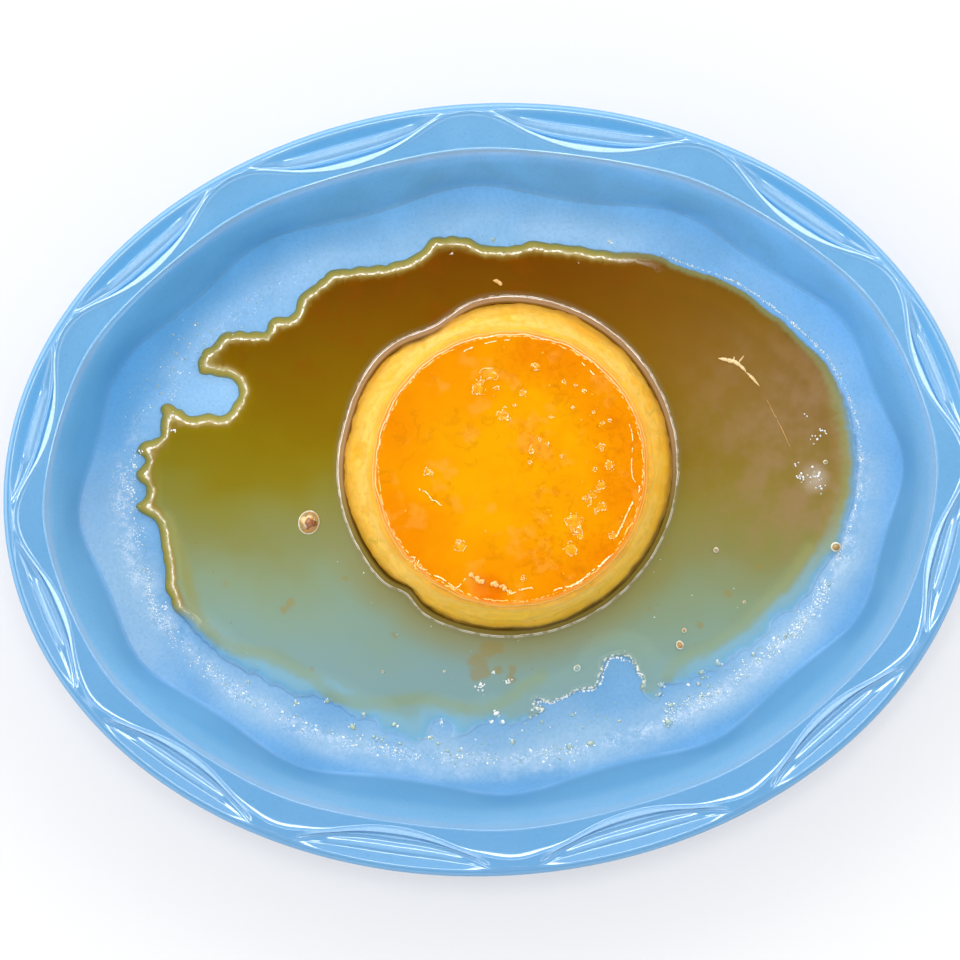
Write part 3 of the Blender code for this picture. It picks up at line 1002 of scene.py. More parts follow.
def pool_points(outline, foot):
    """The points of the pool's top: rows along both edges and an even field between, with the finders."""
    edge_finder, foot_finder = nearest(outline), nearest(foot)
    points = list(outline) + list(foot)
    for inset in EDGE_ROWS:
        stride = 1 if inset < 1 else 2 if inset < 2 else 3
        for ring, finder, side in ((outline, edge_finder, -1), (foot, foot_finder, 1)):
            other = foot_finder if ring is outline else edge_finder
            for number in range(0, len(ring), stride):
                point = ring[number] + outward_of(ring, number) * inset * side
                spot = (point.x, point.y, 0)
                if finder.find(spot)[2] > 0.93 * inset and other.find(spot)[2] > 5:
                    points.append(point)
    reach = EDGE_ROWS[-1] + POOL_STEP * 0.6
    for row in range(round(FIELD_WIDTH / POOL_STEP / ROW_SPACING)):
        for column in range(round(FIELD_LENGTH / POOL_STEP)):
            x = (column + row % 2 / 2) * POOL_STEP - FIELD_LENGTH / 2
            point = Vector((x, row * POOL_STEP * ROW_SPACING - FIELD_WIDTH / 2))
            spot = (point.x, point.y, 0)
            clear = edge_finder.find(spot)[2] > reach and foot_finder.find(spot)[2] > reach
            if clear and inside(point, outline) and not inside(point, foot):
                points.append(point)
    return points, edge_finder, foot_finder


def triangles_between(points, outline, foot):
    """The triangles over those points that lie inside the outline and outside the foot."""
    rim, hole = len(outline), len(foot)
    edges = [(i, (i + 1) % rim) for i in range(rim)]
    edges += [(rim + i, rim + (i + 1) % hole) for i in range(hole)]
    points, _, faces, _, _, _ = geometry.delaunay_2d_cdt(points, edges, [], 0, 1e-5)
    kept = []
    for face in faces:
        if all(corner < rim for corner in face) or all(rim <= corner < rim + hole for corner in face):
            middle = (points[face[0]] + points[face[1]] + points[face[2]]) / 3
            if not inside(middle, outline) or inside(middle, foot):
                continue
        kept.append(face)
    return points, kept


def softened(values, faces, fixed, rounds):
    """The values at the points of a mesh, each evened out with its neighbours; the first ones stay fixed."""
    neighbours = [set() for _ in values]
    for face in faces:
        for corner in face:
            neighbours[corner].update(face)
    for _ in range(rounds):
        evened = [sum(values[near] for near in around) / max(len(around), 1) for around in neighbours]
        values = values[:fixed] + evened[fixed:]
    return values


def surface_of(*things):
    """A finder of the height of the highest of those things at a place, in millimetres."""
    trees = [BVHTree.FromObject(thing, bpy.context.evaluated_depsgraph_get()) for thing in things]

    def height(x, y):
        above = Vector((x * MM, y * MM, 0.05))
        hits = [tree.ray_cast(above, Vector((0, 0, -1)))[0] for tree in trees]
        return max(hit.z for hit in hits if hit) / MM

    return height


def make_sauce():
    outline = roughened(smooth_run(POOL_OUTLINE, EDGE_STEP))
    foot = custard_foot()
    points, edge_finder, foot_finder = pool_points(outline, foot)
    points, faces = triangles_between(points, outline, foot)
    floor_at = surface_of(dish)
    flow_finder = nearest([point for line in FLOW_LINES for point in smooth_run(line, 0.5, closed=False)])
    broken_finder = nearest(smooth_run(BROKEN_EDGE, 0.5, closed=False))
    rim_count, foot_count = len(outline), len(foot)
    edges = [edge_finder.find((x, y, 0))[2] for x, y in points]
    edges = softened(edges, faces, rim_count, EDGE_SOFTENING)
    tops, marks = [], []
    for (x, y), edge in zip(points, edges):
        spot = (x, y, 0)
        floor = floor_at(x, y)
        creep = foot_finder.find(spot)[2]
        deep = deep_share(x, y)
        broken = math.exp(-((broken_finder.find(spot)[2] / 2.6) ** 2))
        shallow = rise(-y * 0.966 + x * 0.259, 8, 60)
        level = POOL_LEVEL + (THIN_LEVEL - POOL_LEVEL) * shallow
        curve = FILM_CURVE + (BEAD_CURVE - FILM_CURVE) * deep
        curve += (BROKEN_CURVE - curve) * broken
        fine = noise.noise((x / 0.8, y / 0.8, 3.3)) * 0.14 + noise.noise((x / 2.1, y / 2.1, 8.1)) * 0.12
        share = 1 - math.exp(-edge * (1 + fine) / curve)
        height = floor + 0.04 + (max(level - floor, 0.35) - 0.04) * share
        height += CREEP_HEIGHT * math.exp(-creep * (1 + fine) / CREEP_CURVE)
        height += noise.noise((x / 5.0, y / 5.0, 4.4)) * 0.03 * rise(edge, 0.5, 4)
        height += broken * 0.15 * rise(edge, 0.0, 0.6) * (1 + fine * 3)
        tops.append(Vector((x, y, height)) * MM)
        flow = math.exp(-((flow_finder.find(spot)[2] / 1.9) ** 2))
        stain = max(1.6 - math.hypot(x - middle[0], y - middle[1]) / middle[2] for middle in STAINS)
        marks.append((min(edge, MARK_REACH), deep, min(creep, MARK_REACH), flow, broken, max(stain, 0.0)))
    solid = bmesh.new()
    layers = [solid.verts.layers.float.new(name) for name in POOL_MARKS]
    top_verts = [solid.verts.new(top) for top in tops]
    low_verts = []
    for x, y in points[: rim_count + foot_count]:
        low_verts.append(solid.verts.new(Vector((x, y, floor_at(x, y) + 0.01)) * MM))
    marks += [(0.0, 0.0, MARK_REACH, 0.0, 0.0, 0.0)] * len(low_verts)
    for vert, values in zip(top_verts + low_verts, marks):
        for layer_value, value in zip(layers, values):
            vert[layer_value] = value
    for face in faces:
        solid.faces.new([top_verts[corner] for corner in face])
    _, low_faces = triangles_between(points[: rim_count + foot_count], outline, foot)
    for face in low_faces:
        solid.faces.new([low_verts[corner] for corner in reversed(face)])
    for start, count in ((0, rim_count), (rim_count, foot_count)):
        for number in range(count):
            a, b = start + number, start + (number + 1) % count
            solid.faces.new((top_verts[a], top_verts[b], low_verts[b], low_verts[a]))
    bmesh.ops.recalc_face_normals(solid, faces=solid.faces)
    mesh = bpy.data.meshes.new("sauce_pool")
    solid.to_mesh(mesh)
    solid.free()
    mesh.shade_smooth()
    mesh.set_sharp_from_angle(angle=math.radians(CREASE_ANGLE))
    mesh.materials.append(finish("brown_syrup", brown_syrup))
    sauce = bpy.data.objects.new("sauce_pool", mesh)
    scene.collection.objects.link(sauce)
    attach(sauce, "root")
    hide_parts("caramel_sauce")
    return sauce


def brown_syrup(net):
    """Brown where it is deep, through olive, to the dish's glaze colour, its painted light and shade
    included, where the film ends; with painted highlights and shade at its edges.
    """
    place = net.spot()
    x, y, _ = (axis * (1 / MM) for axis in net.split(place))
    edge, deep, creep, flow, broken, stain = (net.mark(name) for name in POOL_MARKS)
    drift = net.cloud(place, 26 * MM, 3.0) - 0.5
    fine = net.cloud(place, 2.6 * MM, 3.0, 0.6)
    strength = (y + x * 0.10 + drift * 26 + 55) * (1 / 110)
    colour = net.ramp(
        strength,
        (
            (0.05, 0.200, 0.340, 0.355),
            (0.18, 0.215, 0.330, 0.268),
            (0.28, 0.224, 0.302, 0.185),
            (0.38, 0.222, 0.240, 0.085),
            (0.46, 0.220, 0.208, 0.036),
            (0.53, 0.218, 0.172, 0.009),
            (0.60, 0.212, 0.146, 0.003),
            (0.72, 0.192, 0.108, 0.0015),
            (0.85, 0.172, 0.078, 0.0010),
            (1.00, 0.150, 0.052, 0.0008),
        ),
    )
    colour = net.mix(x.over(10, 70) * y.over(0, 30) * 0.35, colour, (0.290, 0.160, 0.020))
    haze = x.over(34, 80) * y.over(-34, -8) * y.over(48, 12)
    froth = net.cloud(place, 8 * MM, 4.0, 0.55)
    colour = net.mix(haze * (0.30 + 0.45 * froth.over(0.35, 0.70)), colour, (0.330, 0.205, 0.110))
    scorch = net.cloud(place, 7 * MM, 4.0, 0.6).over(0.50, 0.66) * y.over(26, 40) * x.over(52, 24)
    colour = net.mix(scorch * 0.45, colour, (0.205, 0.055, 0.001))
    near_foot = creep.over(14, 1.5) * y.over(5, -25)
    colour = net.mix(near_foot * 0.75, colour, (0.262, 0.232, 0.068))
    _, foam_at = directions(net, place, (81.5, -2.5))
    colour = net.mix(foam_at.over(5.0, 0.5) * froth.over(0.2, 0.6) * 0.75, colour, (0.500, 0.410, 0.320))
    flecks = net.cloud(place, 1.8 * MM, 2.0).over(0.70, 0.78) * net.cloud(place, 15 * MM).over(0.45, 0.6)
    colour = net.mix(flecks * y.over(20, -10) * 0.55, colour, (0.270, 0.165, 0.035))
    settled = (stain + (fine - 0.5) * 1.0).over(0.30, 0.95)
    colour = net.mix(settled * 0.55, colour, (0.290, 0.220, 0.060))
    # the bead's bands, partly painted light: olive where the syrup thins over the blue, a dark teal outermost
    # line that is also a painted contact shadow, and a pale band at 2 mm, a painted haze round the bead's
    # highlight
    edge_line = edge + (net.cloud(place, 3.5 * MM, 2.0) - 0.5) * 0.9
    band = net.ramp(
        edge_line * (1 / 4),
        (
            (0.00, 0.190, 0.300, 0.260),
            (0.07, 0.250, 0.250, 0.095),
            (0.20, 0.320, 0.275, 0.055),
            (0.36, 0.360, 0.300, 0.085),
            (0.50, 0.440, 0.370, 0.170),
            (0.62, 0.360, 0.265, 0.085),
            (0.76, 0.250, 0.170, 0.030),
        ),
    )
    colour = net.mix(edge.over(4.2, 2.2) * deep, colour, band)
    # painted highlight: dashed glints along the bead
    glint_dashes = net.cloud(place, 0.9 * MM, 1.0).over(0.42, 0.54)
    glint = edge.near(1.95, 0.20) * glint_dashes * deep * 0.5
    thin = 1 - deep
    whole = broken.over(0.20, 0.01)
    fading = edge * (1 + 1.5 * y.over(14, 34)) + (fine - 0.5) * 1.6
    run_out = edge.over(6.0, 3.2) * thin * y.over(-5, -30) * abs(x - 20).over(16, 32)
    colour = net.mix(run_out * 0.75, colour, (0.195, 0.405, 0.560))
    colour = net.mix(fading.over(6.0, 2.0) * thin * y.over(-38, -10) * 0.6, colour, (0.300, 0.350, 0.140))
    bluish = fading.over(2.8, 0.8) * thin * whole * y.over(24, 6)
    colour = net.mix(bluish * 0.7, colour, (0.160, 0.405, 0.620))
    flow = (flow + (fine - 0.5) * 0.5).over(0.05, 0.95)
    flow = flow * (0.75 + 0.25 * net.cloud(place, 12 * MM, 2.0).over(0.35, 0.6))
    flow_colour = net.mix(y.over(-15, -45), (0.275, 0.275, 0.090), (0.230, 0.320, 0.215))
    colour = net.mix(flow * 0.8, colour, flow_colour)
    # the dish's colour from glaze_tone, with its painted light and shade, made 8% darker
    bare = net.mix(0.08, glaze_tone(net, 0, 1), (0, 0, 0))
    ended = net.sum("MAXIMUM", fading.over(1.2, 0.0), edge.over(0.6, 0.1))
    colour = net.mix(ended * thin * whole, colour, bare)
    foot_glint_place = creep + (net.cloud(place, 3.0 * MM, 2.0) - 0.5) * 0.5
    # painted reflection: a greyish haze just outside the glint lines round the custard's foot
    colour = net.mix(creep.over(3.6, 2.2) * 0.35, colour, (0.230, 0.190, 0.100))
    # the syrup creeping up the custard: painted a mauve brown at the back, standing in for its reflection,
    # and dark brown at the front
    creep_colour = net.mix(y.over(-12, 12), (0.200, 0.130, 0.006), (0.380, 0.215, 0.100))
    colour = net.mix(creep.over(2.1, 1.6) * 0.8, colour, creep_colour)
    # painted shadow: dark brown where the syrup meets the custard's foot
    contact_shadow_colour = net.mix(y.over(-12, 12), (0.110, 0.050, 0.001), (0.200, 0.080, 0.008))
    colour = net.mix(creep.over(0.9, 0.3), colour, contact_shadow_colour)
    long_dashes = net.cloud(place, 2.4 * MM, 2.0).over(0.36, 0.52)
    # painted highlight: two dashed lines round the custard's foot where its meniscus catches the light
    foot_glints = foot_glint_place.near(1.78, 0.16) + foot_glint_place.near(2.12, 0.13) * long_dashes * 0.7
    glint = net.sum("MAXIMUM", glint, foot_glints * (0.25 + 0.55 * long_dashes))
    sparkle = net.cloud(place, 0.8 * MM, 1.0).over(0.47, 0.56)
    glint = net.sum("MAXIMUM", glint, broken * edge.near(0.45, 0.55) * sparkle)
    # painted highlights: the glints on the bead, round the custard's foot and on the broken edge
    colour = net.mix(glint * 0.9, colour, (0.88, 0.88, 0.80))
    grain = net.cloud(place, 2.2 * MM, 2.0)
    bump = net.relief(grain * 0.03, 0.4)
    opaque = net.sum("MAXIMUM", deep, broken * edge.over(0.0, 0.5))
    line = edge.near(2.0, 0.45).over(0.0, 0.5) * (0.25 + 0.75 * glint_dashes)
    broken_up = (1 - deep * edge.over(5.0, 4.0) * (1 - line)) * (1 - creep.over(2.8, 2.3) * 0.55)
    broken_up = broken_up * (1 - creep.over(1.5, 1.0) * 0.8)
    return {
        "Base Color": colour,
        "Roughness": 0.3,
        "Specular IOR Level": 0.0,
        "Coat Weight": net.sum("MAXIMUM", edge.over(5.5, 8.0), opaque) * broken_up,
        "Coat Roughness": 0.04,
        "Coat IOR": 1.7,
        "Normal": bump,
    }


sauce = make_sauce()


# Drops and bubbles of syrup on the dish and on the pool: bands of fine spatter where the sauce splashed and
# dried, a few larger drops between them, and foam where the film broke. All are rounded and half sunk in.
# a band's middle line, its half width, how many drops, the smallest and largest radius, and the share of foam
SPATTER = (
    (
        ((-89, 16), (-90.5, 3), (-88.5, -13), (-85.5, -27), (-78, -37), (-68, -46)),
        1.7, 620, 0.09, 0.26, 0.75,
    ),
    (
        ((-68, -46), (-56, -54), (-44, -59), (-30, -64), (-16, -66.5), (0, -67.5), (18, -66.5)),
        1.8, 420, 0.09, 0.40, 0.6,
    ),
    (((-80, 28), (-73, 38), (-62, 47), (-52, 53), (-40, 59)), 2.4, 260, 0.08, 0.20, 0.75),
    (((-88, 22), (-80, 36), (-70, 46)), 4.0, 110, 0.10, 0.36, 0.2),
    (((40, -59), (50, -56), (60, -50.5), (70, -44), (78, -36.5), (84, -28)), 1.7, 1050, 0.08, 0.30, 0.75),
    (
        ((84.0, -27), (89.6, -16), (93.2, -4), (93.8, 6), (92.2, 16), (87.0, 28)),
        0.45, 420, 0.08, 0.26, 0.8,
    ),
    (
        ((87.0, 28), (77.4, 38.2), (67.6, 46.4), (61.4, 50.0), (51.7, 54.0), (46.7, 57.0)),
        0.25, 420, 0.08, 0.26, 0.8,
    ),
    (((-36, -58), (-20, -63), (0, -62.5), (14, -59), (30, -60)), 2.6, 60, 0.20, 0.75, 0.1),
    (((46, -53), (60, -48), (72, -40)), 2.5, 26, 0.25, 0.8, 0.1),
    (((-70, -30), (-40, -30), (0, -38), (60, -20)), 13.0, 34, 0.10, 0.26, 0.5),
    (BROKEN_EDGE, 0.22, 150, 0.13, 0.42, 1.0),
)
# single drops: place, radius, height, and 0 clear … 1 foam
LONE_DROPS = (
    (5.0, 62.8, 0.6, 0.4, 0.3), (33.9, 60.6, 0.5, 0.4, 0.6), (34.6, 60.0, 0.4, 0.3, 0.9),
    (39.3, -54.3, 0.9, 0.7, 0.0), (39.9, -52.0, 0.8, 0.6, 0.0), (41.8, -57.3, 0.9, 0.6, 0.1),
    (41.0, -61.5, 1.2, 0.6, 0.1), (17.0, -58.0, 0.8, 0.5, 0.1), (21.0, -65.5, 1.1, 0.5, 0.1),
    (15.5, -66.0, 0.9, 0.5, 0.1), (-35.5, -54.5, 0.7, 0.5, 0.1), (-28.0, -57.5, 0.9, 0.5, 0.1),
    (-38.5, -57.5, 0.9, 0.5, 0.1), (-44.5, -50.5, 0.7, 0.5, 0.1), (-52.5, -50.5, 0.7, 0.5, 0.2),
    (-64.0, -44.5, 0.6, 0.4, 0.1), (-19.0, -61.5, 0.6, 0.4, 0.1), (1.5, -64.0, 0.7, 0.4, 0.1),
    (54.5, -47.5, 0.9, 0.6, 0.0), (50.0, -49.5, 0.7, 0.5, 0.1), (83.5, -29.5, 0.6, 0.4, 0.1),
    (-2.1, -56.4, 0.9, 0.6, 1.0), (-3.4, -58.4, 0.6, 0.4, 1.0), (-0.6, -58.6, 0.6, 0.4, 1.0),
)
# knots of foam: place, spread, how many bubbles
FOAM = (
    (-5.6, -49.6, 0.9, 16), (1.3, -48.6, 0.8, 10), (-2.1, -46.0, 0.6, 5), (-16.2, -57.9, 0.8, 10),
    (78.0, -1.8, 0.9, 12), (82.0, -2.0, 1.8, 18), (83.2, -5.0, 1.2, 5), (84.3, 9.0, 1.0, 7),
    (82.0, 7.5, 1.2, 5), (80.5, 13.5, 0.5, 3), (77.5, 1.5, 0.7, 4), (7.5, -55.5, 0.9, 14),
    (-78.8, 24.0, 0.5, 6), (-78.6, 20.0, 0.5, 6), (-88.8, 11.5, 0.7, 10), (-90.3, 5.0, 0.7, 10),
    (-83.5, -24.3, 0.8, 10), (-87.5, 15.2, 0.5, 6),
)
# bubbles that stand on the pool, with a bright rim that is a painted highlight
BUBBLES = (
    (85.9, -20.1, 1.35, 0.9, 1.0), (45.1, -42.2, 1.2, 0.8, 1.0), (46.4, -38.6, 0.65, 0.5, 1.0),
    (18.9, -46.3, 1.0, 0.7, 0.0), (55.7, -18.9, 0.75, 0.6, 0.6), (-46.1, -5.3, 3.1, 0.75, 1.0),
    (62.0, -32.5, 0.5, 0.4, 0.6), (84.6, 1.4, 0.6, 0.4, 0.8), (-14.5, -45.0, 0.4, 0.3, 0.2),
    (-30.0, -44.0, 0.4, 0.3, 0.3),
)
SPATTER_SEED = 11


def named(net, name):
    """A value that each spot carries."""
    return net.node("GeometryNodeInputNamedAttribute", {"data_type": "FLOAT"}, {"Name": name}, "Attribute")


def scattered(name, spots, material, segments, rings, unevenness=0.0, roundness=0.7):
    """One rounded body on each spot, which is (x, y, z, radius, height, tint)."""
    start = bpy.data.meshes.new(name + "_spots")
    start.from_pydata([Vector(spot[:3]) * MM for spot in spots], [], [])
    for label, column in (("wide", 3), ("tall", 4), ("tint", 5)):
        values = start.attributes.new(label, "FLOAT", "POINT")
        values.data.foreach_set("value", [spot[column] for spot in spots])
    net = shape_net(name)
    net.tree.interface.new_socket("Spots", in_out="INPUT", socket_type="NodeSocketGeometry")
    around, across = sized(net, "Segments", segments), sized(net, "Rings", rings)
    rough, least = sized(net, "Unevenness", unevenness), sized(net, "Roundness", roundness)
    counts = {"Segments": around, "Rings": across, "Radius": MM}
    ball = net.node("GeometryNodeMeshUVSphere", (), counts, "Mesh")
    limits = {"Min": 0.0, "Max": 1.0, "Seed": 4}
    chance = net.node("FunctionNodeRandomValue", {"data_type": "FLOAT"}, limits, "Value")
    narrow = named(net, "wide") * (least + (1 - least) * chance)
    values = {
        "Points": Wire(net, net.inlet.outputs["Spots"]),
        "Instance": ball,
        "Rotation": net.join(0.0, 0.0, chance * 40),
        "Scale": net.join(named(net, "wide"), narrow, named(net, "tall")),
    }
    bodies = net.node("GeometryNodeInstanceOnPoints", (), values)
    bodies = net.node("GeometryNodeRealizeInstances", (), {0: bodies})
    place = net.node("GeometryNodeInputPosition")
    push = net.vector_sum("SUBTRACT", net.cloud(place, 1.3 * MM, 2.0, output="Color"), (0.5, 0.5, 0.5))
    push = net.node("ShaderNodeVectorMath", {"operation": "SCALE"}, {0: push, "Scale": rough * MM})
    bodies = net.node("GeometryNodeSetPosition", (), {"Geometry": bodies, "Offset": push})
    piece = grow(net, name, bodies, material, start)
    piece.data.shade_smooth()
    return piece


def spatter_spots(height):
    chance = random.Random(SPATTER_SEED)
    spots = []
    for path, half_width, count, smallest, largest, foam in SPATTER:
        run = smooth_run(path, 0.25, closed=False)
        for _ in range(count):
            number = chance.randrange(1, len(run) - 1)
            clump = 0.5 + noise.noise((number * 0.05, half_width, 2.0))
            if chance.random() > 0.35 + clump:
                continue
            point = run[number] + outward_of(run, number) * chance.gauss(0, half_width * 0.6)
            radius = smallest * (largest / smallest) ** (chance.random() ** 1.6)
            tint = chance.uniform(0.6, 1.0) if chance.random() < foam else chance.uniform(0, 0.4)
            spots.append((point.x, point.y, height(point.x, point.y), radius, radius * 0.55, tint))
    for x, y, radius, tall, tint in LONE_DROPS:
        spots.append((x, y, height(x, y), radius, tall * 0.55, tint))
        for _ in range(5):
            turn = chance.uniform(0, math.tau)
            at = (x + math.cos(turn) * radius * 1.1, y + math.sin(turn) * radius * 0.9)
            small = radius * chance.uniform(0.15, 0.4)
            spots.append((*at, height(*at), small, radius * 0.2, chance.choice((0.2, 1.0))))
    for x, y, spread, count in FOAM:
        for _ in range(count):
            at = (x + chance.gauss(0, spread * 0.6), y + chance.gauss(0, spread * 0.6))
            radius = chance.uniform(0.10, 0.34)
            spots.append((*at, height(*at), radius, radius * 0.6, chance.uniform(0.7, 1.0)))
    return spots


def drop_syrup(net):
    """Thin syrup takes the colour under it and a little green, painted darker on its steep sides and with a
    painted highlight on its back; foam is white.
    """
    tint = net.mark("tint")
    place = net.spot()
    normal = net.normal()
    up = net.split(normal)[2]
    lit = net.vector_sum("DOT_PRODUCT", normal, (-0.25, 0.75, 0.61), output="Value")
    tone = net.cloud(place, 1.5 * MM, 2.0).over(0.35, 0.65)
    colour = net.mix(tone, (0.290, 0.460, 0.540), (0.370, 0.470, 0.350))
    # painted shade: darker on the drop's steep sides
    colour = net.mix(up.over(0.70, 0.30) * 0.5, colour, (0.150, 0.310, 0.370))
    # painted highlight: pale on the side that faces the light at the back
    colour = net.mix(lit.over(0.86, 0.95) * tone * 0.8, colour, (0.80, 0.88, 0.86))
    colour = net.mix(tint.over(0.4, 0.8) * (0.7 + 0.3 * tone), colour, (0.93, 0.97, 0.98))
    return {
        "Base Color": colour,
        "Roughness": 0.25,
        "Coat Weight": 0.5,
        "Coat Roughness": 0.06,
        "Coat IOR": 1.6,
    }


def bubble_film(net):
    """A bubble's thin brown skin with the bright rim where it meets the pool, a painted highlight on its
    steep sides.
    """
    tint = net.mark("tint")
    place = net.spot()
    up = net.split(net.normal())[2]
    tone = net.cloud(place, 1.1 * MM, 2.0).over(0.35, 0.65)
    colour = net.mix(tone, (0.420, 0.210, 0.040), (0.260, 0.215, 0.070))
    colour = net.mix(tint.over(0.5, 0.0), colour, (0.200, 0.330, 0.320))
    # painted highlight: pale on the steep sides, as a ring
    rim = up.over(0.86, 0.76) * up.over(0.25, 0.45)
    colour = net.mix(rim * (0.55 + 0.45 * tone), colour, (0.86, 0.86, 0.72))
    return {"Base Color": colour, "Roughness": 0.3, "Coat Weight": 1.0, "Coat Roughness": 0.06}


def make_drops():
    height = surface_of(dish, sauce)
    drops = scattered("syrup_drops", spatter_spots(height), finish("drop_syrup", drop_syrup), 7, 4, 0.22, 0.5)
    spots = [(x, y, height(x, y), radius, tall, tint) for x, y, radius, tall, tint in BUBBLES]
    bubbles = scattered("pool_bubbles", spots, finish("bubble_film", bubble_film), 28, 12, 0.0, 0.85)
    for piece in (drops, bubbles):
        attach(piece, "root")


make_drops()


# Bits in the sauce: a crumb of burnt sugar with its pale lump of custard, shreds of custard that lie curled
# at the right, and a fleck of yolk at the back. Each is a chain of small uneven lumps half sunk in the pool.
# place, radius, height and 0 custard … 1 burnt sugar
CRUMB = (
    (-47.0, -4.7, 1.25, 1.1, 0.15), (-46.0, -5.3, 1.5, 1.5, 0.7), (-45.0, -5.6, 1.1, 1.0, 1.0),
    (-46.4, -6.6, 0.9, 0.8, 0.9), (-45.4, -4.3, 0.9, 0.9, 0.35),
)
SHREDS = (
    (((59.6, 29.2), (61.8, 28.6), (63.6, 27.9), (65.0, 26.8), (66.0, 25.6)), 0.62, 0.0),
    (((66.2, 25.3), (67.2, 24.2), (68.0, 23.2), (69.2, 21.6)), 0.40, 0.1),
    (((64.4, 27.6), (65.1, 28.6), (65.9, 29.4)), 0.26, 0.1),
    (((63.0, 28.2), (63.4, 29.3)), 0.22, 0.1),
    (((4.3, 52.4), (5.4, 52.0), (6.2, 51.2)), 0.55, 0.3),
    (((70.6, 18.6), (72.4, 14.5), (74.6, 9.4), (76.2, 5.2)), 0.10, 0.38),
    (((57.5, 19.0), (59.4, 15.0), (59.6, 10.0)), 0.09, 0.75),
)
SHRED_SEED = 5


def bit_spots(height):
    chance = random.Random(SHRED_SEED)
    spots = [(x, y, height(x, y), radius, tall, tint) for x, y, radius, tall, tint in CRUMB]
    for path, size, tint in SHREDS:
        run = smooth_run(path, size * 0.55, closed=False)
        for number, point in enumerate(run):
            ends = math.sin(math.pi * (number + 0.7) / (len(run) + 0.4)) ** 0.5
            radius = size * ends * chance.uniform(0.7, 1.15)
            spots.append((point.x, point.y, height(point.x, point.y), radius, radius * 0.8, tint))
    return spots


def crumbled_sugar(net):
    """From pale custard through yolk yellow to burnt sugar brown, mottled."""
    tint = net.mark("tint")
    place = net.spot()
    tone = net.cloud(place, 0.9 * MM, 3.0) - 0.5
    stops = (
        (0.10, 0.83, 0.62, 0.30),
        (0.35, 0.72, 0.42, 0.11),
        (0.60, 0.42, 0.17, 0.055),
        (0.95, 0.19, 0.055, 0.012),
    )
    bump = net.relief(tone * 0.4, 0.5)
    colour = net.ramp(tint + tone * 0.5 + 0.06, stops)
    return {"Base Color": colour, "Roughness": 0.4, "Coat Weight": 0.6, "Normal": bump}


def make_bits():
    material = finish("crumbled_sugar", crumbled_sugar)
    bits = scattered("crumb_and_shreds", bit_spots(surface_of(sauce)), material, 12, 8, 0.5, 0.8)
    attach(bits, "root")


make_bits()


# Blisters and beads on the caramel: bubbles of boiling sugar that set as low domes with bright rims, and
# strings of small pale beads along creases and round the edge.
# place, radius and height of a blister
BLISTERS = (
    (1.6, 27.9, 1.8, 0.50), (-1.5, 24.4, 1.7, 0.50), (-0.6, 26.0, 0.7, 0.40), (3.1, 24.4, 0.6, 0.35),
    (9.3, 22.8, 0.9, 0.35), (13.0, 29.0, 0.9, 0.40), (12.0, 29.4, 0.5, 0.30), (4.1, 17.8, 1.5, 0.45),
    (5.2, 16.8, 0.6, 0.30), (19.3, 24.8, 0.5, 0.25), (23.9, 22.3, 0.5, 0.25), (22.1, 23.9, 0.4, 0.25),
    (10.5, 8.9, 0.9, 0.35), (9.9, 6.1, 0.55, 0.30), (15.8, 16.6, 0.5, 0.25), (27.8, 14.3, 0.6, 0.30),
    (27.1, 8.6, 1.0, 0.35), (28.8, 4.1, 1.2, 0.40), (26.8, -0.8, 1.1, 0.40), (24.5, -2.8, 0.9, 0.35),
    (26.5, -5.6, 1.3, 0.40), (23.4, -4.4, 0.9, 0.35), (22.4, -3.4, 0.5, 0.30), (25.2, -6.6, 0.7, 0.30),
    (19.5, -9.2, 2.2, 0.55), (20.4, -10.6, 1.1, 0.40), (20.7, -12.5, 0.8, 0.30), (18.3, -15.7, 1.6, 0.45),
    (28.6, -13.0, 0.9, 0.35), (6.3, -21.9, 0.6, 0.30), (2.9, -25.0, 0.7, 0.30), (-8.1, -13.2, 1.3, 0.35),
    (-8.8, -12.0, 0.7, 0.25), (-15.0, 5.5, 1.0, 0.30), (-14.2, 4.8, 0.6, 0.25), (7.1, 20.0, 0.4, 0.20),
    (29.7, 14.9, 0.4, 0.25), (14.5, 10.2, 0.45, 0.20), (12.6, 11.4, 0.4, 0.20), (17.5, 7.0, 0.4, 0.20),
    (26.0, 17.0, 0.4, 0.20), (21.0, 18.5, 0.35, 0.20), (25.4, 3.2, 0.5, 0.25), (-20.0, -15.5, 0.8, 0.3),
    (-18.9, -17.0, 0.7, 0.3),
)
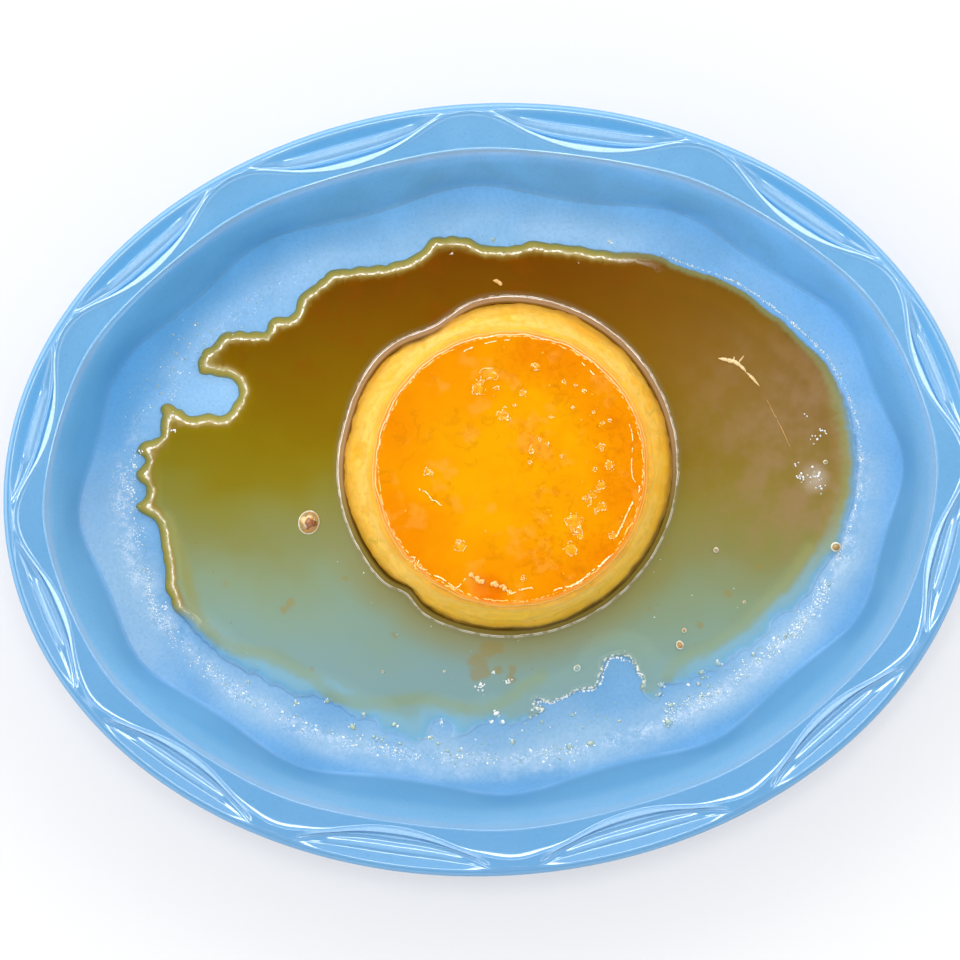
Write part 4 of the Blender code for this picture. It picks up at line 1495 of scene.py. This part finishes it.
# the middle line of a string of beads, their radius, and how much of the string is there
STRINGS = (
    (
        (
            (-17.2, 1.3), (-16.8, 0.4), (-16.1, 0.8), (-15.2, 0.0), (-14.3, -1.5), (-13.3, -1.8),
            (-12.4, -2.8), (-11.7, -2.9),
        ),
        0.14, 0.8,
    ),
    (((-19.8, -15.0), (-18.4, -15.6), (-18.8, -16.8), (-17.6, -18.0), (-16.6, -18.2)), 0.14, 0.7),
    (
        (
            (-14.8, -19.8), (-13.3, -20.4), (-12.0, -21.4), (-10.8, -22.5), (-9.9, -23.0), (-8.4, -21.9),
            (-7.1, -20.4),
        ),
        0.18, 0.7,
    ),
    (((-6.1, -20.2), (-4.6, -21.3), (-3.1, -22.2), (-1.4, -22.5), (0.4, -22.9), (1.9, -23.8)), 0.62, 1.0),
    (
        (
            (1.9, -24.0), (3.4, -25.2), (5.4, -24.5), (7.9, -24.2), (10.2, -24.9), (13.1, -25.2),
            (15.6, -24.6), (17.9, -24.4),
        ),
        0.17, 0.65,
    ),
    (
        (
            (17.9, -24.4), (20.0, -23.4), (21.2, -22.6), (23.0, -21.1), (24.3, -20.4), (25.8, -19.3),
            (27.8, -17.6),
        ),
        0.26, 0.7,
    ),
    (((29.4, -13.2), (31.0, -10.6), (32.4, -7.8), (33.9, -5.2), (35.4, -3.2), (35.9, -1.6)), 0.20, 0.75),
    (((35.9, -1.6), (34.4, 0.6), (34.2, 3.6), (34.7, 7.6), (34.9, 11.0), (34.3, 13.6)), 0.14, 0.7),
    (((33.4, 15.5), (31.0, 20.0), (27.5, 25.0), (24.0, 29.0)), 0.16, 0.35),
    (((19.0, 32.0), (12.0, 35.0), (5.0, 35.8), (-2.0, 34.6), (-7.0, 32.6)), 0.16, 0.3),
)
BEAD_SEED = 23


def blister_spots(height):
    chance = random.Random(BEAD_SEED)
    spots = [(x, y, height(x, y) - 0.05, radius, tall * 0.40, 0.0) for x, y, radius, tall in BLISTERS]
    for _ in range(70):
        turn, reach = chance.uniform(0, math.tau), 30 * math.sqrt(chance.random())
        at = (LAYER_CENTRE[0] + math.cos(turn) * reach, LAYER_CENTRE[1] + math.sin(turn) * reach)
        if at[0] > 6 or chance.random() < 0.25:
            radius = chance.uniform(0.12, 0.34)
            spots.append((*at, height(*at), radius, radius * 0.6, 0.0))
    return spots


def bead_spots(height):
    chance = random.Random(BEAD_SEED)
    spots = []
    for path, size, share in STRINGS:
        run = smooth_run(path, size * 1.1, closed=False)
        for number, point in enumerate(run):
            if 0.5 + noise.noise((number * size * 0.6, size * 9, 4.0)) > share:
                continue
            radius = size * chance.uniform(0.65, 1.25)
            wander = (chance.gauss(0, size * 0.3), chance.gauss(0, size * 0.3))
            at = (point.x + wander[0], point.y + wander[1])
            spots.append((*at, height(*at), radius, min(radius * 0.8, 0.62), min(size, 1.0)))
    for x, y, reach, _ in BLISTERS:
        steps = round(math.tau * reach / 0.24)
        for number in range(steps):
            turn = math.tau * number / steps
            wave = noise.noise((math.cos(turn) * 1.3 + x, math.sin(turn) * 1.3 + y, 1.0))
            if noise.noise((math.cos(turn) * 2 + x, math.sin(turn) * 2 + y, 5.0)) > 0.12:
                continue
            at = (x + math.cos(turn) * reach * (0.85 + wave), y + math.sin(turn) * reach * (0.85 + wave))
            radius = chance.uniform(0.08, 0.17)
            spots.append((*at, height(*at) + 0.06, radius, radius * 0.8, 0.2))
    return spots


def blister_skin(net):
    """The same amber as the layer, with a pale rim where the dome's side catches the light."""
    place = net.spot()
    up = net.split(net.normal())[2]
    tone = net.cloud(place, 1.0 * MM, 3.0)
    colour = net.mix(tone.over(0.4, 0.65), (0.680, 0.240, 0.0008), (0.740, 0.320, 0.0040))
    rim = up.over(0.92, 0.82) * up.over(0.40, 0.66)
    colour = net.mix(rim * tone.over(0.50, 0.60) * 0.35, colour, (1.0, 0.62, 0.14))
    return {
        "Base Color": colour,
        "Roughness": 0.5,
        "Specular IOR Level": 0.1,
        "Coat Weight": 0.15,
        "Coat Roughness": 0.08,
    }


def pale_beads(net):
    """Sugar full of fine bubbles: cream where the beads are small, tan where they are large."""
    tint = net.mark("tint")
    place = net.spot()
    tone = net.cloud(place, 0.6 * MM, 2.0).over(0.35, 0.65)
    colour = net.mix(tone, (1.0, 0.60, 0.20), (1.0, 0.80, 0.46))
    colour = net.mix(tint.over(0.3, 0.5), colour, net.mix(tone, (0.76, 0.31, 0.05), (0.88, 0.46, 0.14)))
    shine = 0.35 + 0.65 * tint.over(0.5, 0.3)
    return {
        "Base Color": colour,
        "Roughness": 0.3,
        "Coat Weight": shine,
        "Coat Roughness": 0.06,
        "Coat IOR": 1.6,
    }


def make_blisters():
    height = surface_of(layer, custard)
    skin, pale = finish("blister_skin", blister_skin), finish("pale_beads", pale_beads)
    blisters = scattered("sugar_blisters", blister_spots(height), skin, 20, 8, 0.45)
    beads = scattered("sugar_beads", bead_spots(height), pale, 7, 5, 0.1)
    for piece in (blisters, beads):
        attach(piece, "root")


make_blisters()
